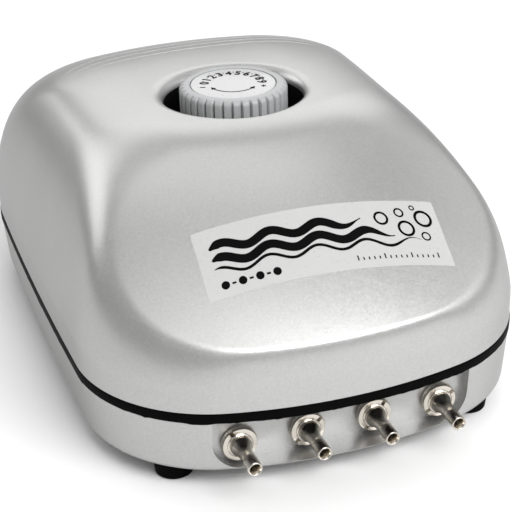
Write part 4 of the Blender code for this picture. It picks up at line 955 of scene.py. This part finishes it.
# Three thin moulded ridges cross the shoulder behind the knob, each a bead that follows the skin.
RIDGE_RADIUS = 0.38 * mm
RIDGE_PLACES = (60.5 * mm, 54.5 * mm, 48.5 * mm)
RIDGE_REACH = 46 * mm
RIDGE_DROOP = 4 * mm
RIDGE_STEPS = 80
ridge_tree, wire, given = tree_of("ridge", {"Radius": "Float", "Look": "Material"})
line = wire.put("GeometryNodeMeshToCurve", Mesh=given["Geometry"])
round_bar = wire.put("GeometryNodeCurvePrimitiveCircle", Resolution=10, Radius=given["Radius"])
bead = wire.put(
    "GeometryNodeCurveToMesh", Curve=line, **{"Profile_Curve": round_bar, "Fill_Caps": True}
)
finish_tree(ridge_tree, wire, bead, given["Look"])
ridge_points = []
ridge_edges = []
for middle_y in RIDGE_PLACES:
    for step in range(RIDGE_STEPS + 1):
        share = 2 * step / RIDGE_STEPS - 1
        x = RIDGE_REACH * share
        y = middle_y + MIDDLE_Y - END_RADIUS + math.sqrt(END_RADIUS**2 - x**2)
        y -= RIDGE_DROOP * abs(share) ** 6
        ends = min(1, (RIDGE_REACH - abs(x)) / (3 * mm) + 0.1)
        z = float(cover_height(np.array([x]), np.array([y]))[0]) - RIDGE_RADIUS * (1 - 0.5 * ends)
        if step:
            ridge_edges.append((len(ridge_points) - 1, len(ridge_points)))
        ridge_points.append((x, y, z))
ridge_mesh = bpy.data.meshes.new("shoulder_ridges")
ridge_mesh.from_pydata(ridge_points, ridge_edges, [])
ridges = added("shoulder_ridges", ridge_mesh)
run_tree(ridges, ridge_tree, Radius=RIDGE_RADIUS, Look=silver_paint)
ridges.data.shade_smooth()
put_on(ridges, "housing", silver_paint, "silver_paint")

# ---------------------------------------------------------------- label
# A printed white film stuck across the foot of the slope, with a plain pattern of waves, bubbles
# and outlet marks. It is drawn flat, LABEL_WIDTH by LABEL_TALL, then enlarged by LABEL_SCALE, moved
# and turned a little, and laid on the curve of the cover.

LABEL_WIDTH = 76 * mm
LABEL_TALL = 21.8 * mm
LABEL_SCALE = (1.04, 1.095)
LABEL_ASIDE = 2.6 * mm
LABEL_LIFT = -2.4 * mm
LABEL_TURN = math.radians(-1.5)
LABEL_FOOT_Y = MIDDLE_Y - 87.2 * mm
FILM = 0.1 * mm
slope_y = np.linspace(LABEL_FOOT_Y - 5 * mm, LABEL_FOOT_Y + 30 * mm, 400)
slope_z = cover_height(np.zeros(400), slope_y)
slope_run = np.concatenate([[0], np.cumsum(np.hypot(np.diff(slope_y), np.diff(slope_z)))])
slope_run -= np.interp(LABEL_FOOT_Y, slope_y, slope_run)


def on_slope(u, v, lift):
    """The place on the cover at u across and v up the label, lifted off the skin."""
    right = np.asarray(u, float) * LABEL_SCALE[0]
    up = np.asarray(v, float) * LABEL_SCALE[1]
    u = LABEL_ASIDE + right * math.cos(LABEL_TURN) - up * math.sin(LABEL_TURN)
    v = LABEL_LIFT + right * math.sin(LABEL_TURN) + up * math.cos(LABEL_TURN)
    y = np.interp(v, slope_run, slope_y)
    step = 0.05 * mm
    z = cover_height(u, y)
    slant_x = (cover_height(u + step, y) - z) / step
    slant_y = (cover_height(u, y + step) - z) / step
    size = np.sqrt(1 + slant_x**2 + slant_y**2)
    return np.stack([u - slant_x / size * lift, y - slant_y / size * lift, z + lift / size], -1)


def drape(name, mesh, lift, thick, cell=2.5 * mm):
    """Lays a flat mesh in label coordinates on the slope as a thin closed film."""
    bm = bmesh.new()
    bm.from_mesh(mesh)
    for axis in (0, 1):
        for i in range(-40, 41):
            plane = Vector((0, 0, 0))
            plane[axis] = i * cell
            normal = Vector((0, 0, 0))
            normal[axis] = 1
            everything = bm.verts[:] + bm.edges[:] + bm.faces[:]
            bmesh.ops.bisect_plane(bm, geom=everything, plane_co=plane, plane_no=normal, dist=1e-7)
    bmesh.ops.remove_doubles(bm, verts=bm.verts, dist=1e-6)
    sheet = bmesh.ops.extrude_face_region(bm, geom=bm.faces[:])
    top = {v for v in sheet["geom"] if isinstance(v, bmesh.types.BMVert)}
    u = [v.co.x for v in bm.verts]
    v_up = [v.co.y for v in bm.verts]
    raise_by = np.array([lift + (thick if v in top else 0) for v in bm.verts])
    for vertex, place in zip(bm.verts, on_slope(u, v_up, raise_by)):
        vertex.co = place
    return outward(name, mesh_of(name, bm))


def rounded_plate(width, tall, corner):
    """A flat face with round corners that stands on its lower edge."""
    far = width / 2 - corner
    points = arc(far, corner, corner, -90, 0, 4) + arc(far, tall - corner, corner, 0, 90, 4)
    points += arc(-far, tall - corner, corner, 90, 180, 4) + arc(-far, corner, corner, 180, 270, 4)
    bm = bmesh.new()
    bm.faces.new([bm.verts.new((x, y, 0)) for x, y in points])
    return mesh_of("flat", bm)


film_white = moulded(
    "label_film", (0.46, 0.46, 0.455), (0.52, 0.52, 0.515), 0.3, 900.0, 0.03, Coat_Weight=0.15
)
print_black = moulded(
    "print_black", (0.001, 0.001, 0.001), (0.004, 0.004, 0.004), 0.5, 1200.0, 0.03, Specular_IOR_Level=0.03
)
label = drape("label_film", rounded_plate(LABEL_WIDTH, LABEL_TALL, 0.6 * mm), -0.04 * mm, FILM)
put_on(label, "housing", film_white, "white_plastic")


def band(points, half):
    """A flat ribbon of a given half width along points."""
    points = np.asarray(points, float)
    run = np.gradient(points, axis=0)
    run /= np.linalg.norm(run, axis=1)[:, None]
    side = np.stack([-run[:, 1], run[:, 0]], 1) * np.reshape(half, (-1, 1))
    return np.concatenate([points + side, (points - side)[::-1]])


def disc(x, y, radius, steps=28):
    turns = np.linspace(0, 2 * math.pi, steps, endpoint=False)
    return np.stack([x + radius * np.cos(turns), y + radius * np.sin(turns)], 1)


def flat_verts(bm, outline):
    """Vertices of the flat drawing, which is in millimetres."""
    return [bm.verts.new((x * mm, y * mm, 0)) for x, y in outline]


def add_shape(bm, outline):
    bm.faces.new(flat_verts(bm, outline))


def add_bar(bm, left, right, low, high):
    add_shape(bm, [(left, low), (right, low), (right, high), (left, high)])


def add_ring(bm, x, y, radius, line):
    inner = flat_verts(bm, disc(x, y, radius - line))
    outer = flat_verts(bm, disc(x, y, radius))
    for i in range(len(inner)):
        j = (i + 1) % len(inner)
        bm.faces.new((inner[i], inner[j], outer[j], outer[i]))


WAVES = ((15.2, 1.35, -34, 13), (11.0, 1.35, -34, 22), (7.9, 0.45, -34, 30))
WAVE_SWING = 1.25
WAVE_LENGTH = 15.0
BUBBLES = ((19.5, 15.8, 2.3, 0.7), (25.8, 17.6, 1.6, 0.55), (26.5, 12.2, 2.7, 0.8))
BUBBLES += ((33.0, 15.6, 2.9, 0.85), (32.0, 9.6, 1.5, 0.5), (30.6, 19.3, 0.9, 0.4))
DOT_PITCH = 5.2
TICKS = 16
TICK_FOOT = 2.6
bm = bmesh.new()
for wave, (base, thick, start, stop) in enumerate(WAVES):
    xs = np.linspace(start, stop, 120)
    ys = base + WAVE_SWING * np.sin((xs - start) / WAVE_LENGTH * 2 * math.pi + wave * 0.5)
    taper = np.clip((stop - xs) / 9, 0.12, 1) * np.clip((xs - start) / 3 + 0.25, 0, 1)
    ribbon = band(np.stack([xs, ys], 1), thick * taper)
    half = len(xs)
    near = flat_verts(bm, ribbon[:half])
    far = flat_verts(bm, ribbon[half:][::-1])
    for i in range(half - 1):
        bm.faces.new((near[i], far[i], far[i + 1], near[i + 1]))
for bubble in BUBBLES:
    add_ring(bm, *bubble)
for i in range(4):
    add_shape(bm, disc(-32.2 + i * DOT_PITCH, 3.6, 1.25))
    if i < 3:
        add_bar(bm, -30.2 + i * DOT_PITCH, -29 + i * DOT_PITCH, 3.3, 3.9)
for i in range(TICKS):
    x = 8 + i * 1.7
    tall = 1.6 if i % 5 == 0 else 0.9
    add_bar(bm, x, x + 0.4, TICK_FOOT, TICK_FOOT + tall)
print_mesh = mesh_of("label_print", bm)
label_print = drape("label_print", print_mesh, FILM - 0.05 * mm, 0.04 * mm)
put_on(label_print, "housing", print_black, "black_plastic")

# ---------------------------------------------------------------- control knob
# A grey moulded knob, ribbed round its side, pushed on the shaft of the flow control. A white disc
# sits in its face, printed with a ring of numerals and an arrow for the two ways it turns.

disc_low, disc_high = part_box("knob_disc")
knob_radius = (knob_high.x - knob_low.x) / 2
disc_radius = (disc_high.x - disc_low.x) / 2
face_z = knob_high.z
seat_z = disc_low.z - CAD_GAP
grey_plastic = moulded("knob_grey", (0.33, 0.335, 0.34), (0.42, 0.425, 0.43), 0.42, 700.0, 0.25)
SHAFT_HOLE = 3.3 * mm
KNOB_RIBS = 36
RIB_DEPTH = 1.3 * mm
RIB_SHARE = 0.36
knob = ribbed_lathe(
    "control_knob_body",
    [(SHAFT_HOLE, knob_low.z + 3.5 * mm, 0), (knob_radius - 3 * mm, knob_low.z + 3.5 * mm, 0)]
    + [(knob_radius - 2.6 * mm, knob_low.z, 0), (knob_radius - 0.2 * mm, knob_low.z, 0.9)]
    + [(knob_radius, knob_low.z + 0.2 * mm, 1), (knob_radius, face_z - 1.7 * mm, 1)]
    + [(knob_radius - 0.15 * mm, face_z - 1.15 * mm, 0.95), (knob_radius - 0.55 * mm, face_z - 0.6 * mm, 0.7)]
    + [(knob_radius - 1.2 * mm, face_z - 0.22 * mm, 0.3), (knob_radius - 1.9 * mm, face_z - 0.05 * mm, 0)]
    + [(knob_radius - 2.6 * mm, face_z, 0), (disc_radius + 0.42 * mm, face_z, 0)]
    + [(disc_radius + 0.3 * mm, face_z - 0.12 * mm, 0), (disc_radius + 0.3 * mm, seat_z, 0)]
    + [(SHAFT_HOLE, seat_z, 0)],
    KNOB_RIBS,
    RIB_DEPTH,
    RIB_SHARE,
    grey_plastic,
    per_rib=20,
)
knob.data.transform(Matrix.Translation((KNOB_X, KNOB_Y, 0)))
put_on(knob, "control", grey_plastic, "grey_plastic", "control_knob")
disc_white = moulded("disc_white", (0.45, 0.45, 0.45), (0.5, 0.5, 0.5), 0.3, 500.0, 0.02, Coat_Weight=0.15)
face_disc = lathe(
    "knob_face_disc",
    [(0.1 * mm, disc_low.z), (disc_radius - 0.1 * mm, disc_low.z)]
    + [(disc_radius, disc_low.z + 0.1 * mm)]
    + arc(disc_radius - 0.25 * mm, disc_high.z - 0.25 * mm, 0.25 * mm, 0, 90, 4)
    + [(0.1 * mm, disc_high.z)],
    (KNOB_X, KNOB_Y, 0),
    sides=96,
)
put_on(face_disc, "control", disc_white, "white_plastic", "knob_disc")

PRINT_TURN = math.radians(-18.6)
PRINT_TALL = 3.1 * mm
NUMERAL_RADIUS = 9.6 * mm
ARROW_RADIUS = 8.2 * mm
PRINT_THICK = 0.1 * mm
NUMERAL_SHARE = 0.7
SIGN_TALL = 2.4 * mm
SIGN_RADIUS = 10.8 * mm


def numeral(text, size, place, turn):
    """A printed character as a thin solid, centred at place and turned about Z."""
    curve = bpy.data.curves.new("numeral", "FONT")
    curve.body = text
    curve.size = size / NUMERAL_SHARE
    curve.align_x = "CENTER"
    curve.align_y = "CENTER"
    curve.offset = size * 0.03
    curve.extrude = PRINT_THICK / 2
    curve.resolution_u = 4
    holder = added("numeral", curve)
    bpy.context.view_layer.update()
    mesh = bpy.data.meshes.new_from_object(holder.evaluated_get(bpy.context.evaluated_depsgraph_get()))
    bpy.data.objects.remove(holder)
    mesh.transform(Matrix.Translation(place) @ Matrix.Rotation(turn, 4, "Z"))
    return mesh


def on_disc(radius, degrees):
    """A point of the print; degrees run anticlockwise from the right as it is read."""
    turn = math.radians(degrees) + PRINT_TURN
    x, y = KNOB_X + radius * math.cos(turn), KNOB_Y + radius * math.sin(turn)
    return Vector((x, y, disc_high.z + 0.04 * mm))


marks = bmesh.new()
NUMERALS = "0123456789"
DOT_RADIUS = 0.26 * mm
dot_profile = [(0.02 * mm, -0.02 * mm), (DOT_RADIUS, -0.02 * mm)]
dot_profile += [(DOT_RADIUS, 0.03 * mm), (0.02 * mm, 0.03 * mm)]
for i, character in enumerate(NUMERALS):
    degrees = 176 - 172 * i / (len(NUMERALS) - 1)
    turn = math.radians(degrees - 90) + PRINT_TURN
    marks.from_mesh(numeral(character, PRINT_TALL, on_disc(NUMERAL_RADIUS, degrees), turn))
    if i < len(NUMERALS) - 1:
        middle = degrees - 86 / (len(NUMERALS) - 1)
        dot = lathe("dot", dot_profile, on_disc(NUMERAL_RADIUS + 0.9 * mm, middle), sides=12)
        marks.from_mesh(dot.data)
        bpy.data.objects.remove(dot)
for text, degrees in (("\u2212", 199), ("+", -19)):
    marks.from_mesh(numeral(text, SIGN_TALL, on_disc(SIGN_RADIUS, degrees), PRINT_TURN))


def thin_plate(outline):
    """A closed thin plate on the disc from an outline of (radius, degrees)."""
    low = [marks.verts.new(on_disc(r, d) - Vector((0, 0, PRINT_THICK / 2))) for r, d in outline]
    high = [marks.verts.new(on_disc(r, d) + Vector((0, 0, PRINT_THICK / 2))) for r, d in outline]
    marks.faces.new(low[::-1])
    marks.faces.new(high)
    for i in range(len(low)):
        j = (i + 1) % len(low)
        marks.faces.new((low[i], low[j], high[j], high[i]))


ARROW_FROM = 216
ARROW_TO = 324
LINE = 0.2 * mm
HEAD = 0.95 * mm
sweep = np.linspace(ARROW_FROM, ARROW_TO, 40)
for d0, d1 in zip(sweep[:-1], sweep[1:]):
    inner, outer = ARROW_RADIUS - LINE, ARROW_RADIUS + LINE
    thin_plate([(inner, d0), (outer, d0), (outer, d1), (inner, d1)])
for tip, way in ((ARROW_FROM, -1), (ARROW_TO, 1)):
    back = tip - 3 * way
    thin_plate([(ARROW_RADIUS, tip + 10 * way), (ARROW_RADIUS - HEAD, back), (ARROW_RADIUS + HEAD, back)])
bmesh.ops.remove_doubles(marks, verts=marks.verts, dist=1e-7)
knob_numerals = outward("knob_numerals", mesh_of("knob_numerals", marks))
put_on(knob_numerals, "control", print_black, "black_plastic")

# ---------------------------------------------------------------- cord gland
# A black plastic bush pressed into the back of the base, where the mains cord would enter. It has a
# straight bore for the cord, and a rounded flange stands against the wall outside.

GLAND_BORE = 2.8 * mm
GLAND_STEM = 5 * mm
gland_radius = (gland_high.z - gland_low.z) / 2
gland_long = gland_high.y - gland_low.y
GLAND_FLANGE = 1.5 * mm
gland = lathe(
    "cord_bush",
    [(GLAND_BORE, 0), (GLAND_BORE, gland_long - 0.5 * mm), (GLAND_BORE + 0.5 * mm, gland_long)]
    + [(gland_radius - 1.4 * mm, gland_long)]
    + arc(gland_radius - 0.6 * mm, gland_long - 0.6 * mm, 0.6 * mm, 80, 0, 5)
    + [(gland_radius, gland_long - GLAND_FLANGE), (GLAND_STEM, gland_long - GLAND_FLANGE)]
    + [(GLAND_STEM, 0)],
    (gland_middle.x, gland_low.y, gland_middle.z),
    axis=(0, 1, 0),
    bored=True,
)
put_on(gland, "housing", black_plastic, "black_plastic", "cord_gland")

# ---------------------------------------------------------------- stage, lights and camera
# A white table top, seven soft rectangular lights around and above the pump with the strongest in
# front, a white sky, and the camera.


def plain(name, colour, roughness):
    made = bpy.data.materials.new(name)
    made.use_nodes = True
    shader = made.node_tree.nodes["Principled BSDF"]
    shader.inputs["Base Color"].default_value = (*colour, 1)
    shader.inputs["Roughness"].default_value = roughness
    return made


table_mesh = bpy.data.meshes.new("table_top")
REACH = 12.0
table_mesh.from_pydata(
    [(-REACH, -REACH, 0), (REACH, -REACH, 0), (REACH, REACH, 0), (-REACH, REACH, 0)], [], [(0, 1, 2, 3)]
)
table_top = added("table_top", table_mesh)
table_mesh.materials.append(plain("table_white", (0.9, 0.9, 0.9), 0.6))


def soft_light(name, azimuth, elevation, size, power, away=1.7):
    """A rectangular soft light facing the pump; azimuth 0 is behind it, and 90 to its right."""
    turn, rise = math.radians(azimuth), math.radians(elevation)
    aim = (cad_low + cad_high) / 2
    place = aim + away * Vector(
        (math.sin(turn) * math.cos(rise), math.cos(turn) * math.cos(rise), math.sin(rise))
    )
    lamp = bpy.data.lights.new(name, "AREA")
    lamp.shape = "RECTANGLE"
    lamp.size, lamp.size_y = size
    lamp.energy = power
    holder = added(name, lamp)
    holder.location = place
    holder.rotation_mode = "QUATERNION"
    holder.rotation_quaternion = (aim - place).to_track_quat("-Z", "Y")


SKY = 0.34
for name, azimuth, elevation, size, power in (
    ("over_back", 18, 75, (1.3, 0.6), 2.9),
    ("back", 18, 30, (1.4, 0.9), 6.8),
    ("back_left", -35, 32, (1.0, 0.9), 5.7),
    ("back_right", 70, 32, (1.0, 0.9), 1.3),
    ("right", 115, 30, (1.0, 0.9), 3.1),
    ("over_front", 198, 65, (1.2, 0.8), 3.5),
    ("front", 162, 44, (1.2, 0.8), 25),
):
    soft_light(name, azimuth, elevation, size, power)

world = bpy.data.worlds.new("studio")
bpy.context.scene.world = world
world.use_nodes = True
sky = world.node_tree.nodes["Background"]
sky.inputs["Color"].default_value = (1, 1, 1, 1)
sky.inputs["Strength"].default_value = SKY

CAMERA_TURN = math.radians(-18.62)
CAMERA_RISE = math.radians(26.97)
CAMERA_ROLL = math.radians(-1.70)
CAMERA_DISTANCE = 550.8 * mm
CAMERA_ASIDE = 7.24 * mm
CAMERA_LIFT = -3.87 * mm
FOCAL_LENGTH = 108.14
back = Vector(
    (
        math.sin(CAMERA_TURN) * math.cos(CAMERA_RISE),
        -math.cos(CAMERA_TURN) * math.cos(CAMERA_RISE),
        math.sin(CAMERA_RISE),
    )
)
right = (-back).cross(Vector((0, 0, 1))).normalized()
up = right.cross(-back)
lens = bpy.data.cameras.new("camera")
lens.sensor_width = 36
lens.lens = FOCAL_LENGTH
camera = added("camera", lens)
across = right * math.cos(CAMERA_ROLL) + up * math.sin(CAMERA_ROLL)
upward = up * math.cos(CAMERA_ROLL) - right * math.sin(CAMERA_ROLL)
stand = Vector((0, MIDDLE_Y, SEAM_Z)) + right * CAMERA_ASIDE + up * CAMERA_LIFT + back * CAMERA_DISTANCE
camera.matrix_world = Matrix.Translation(stand) @ Matrix((across, upward, back)).transposed().to_4x4()
bpy.context.scene.camera = camera
bpy.context.scene.view_settings.view_transform = "Standard"
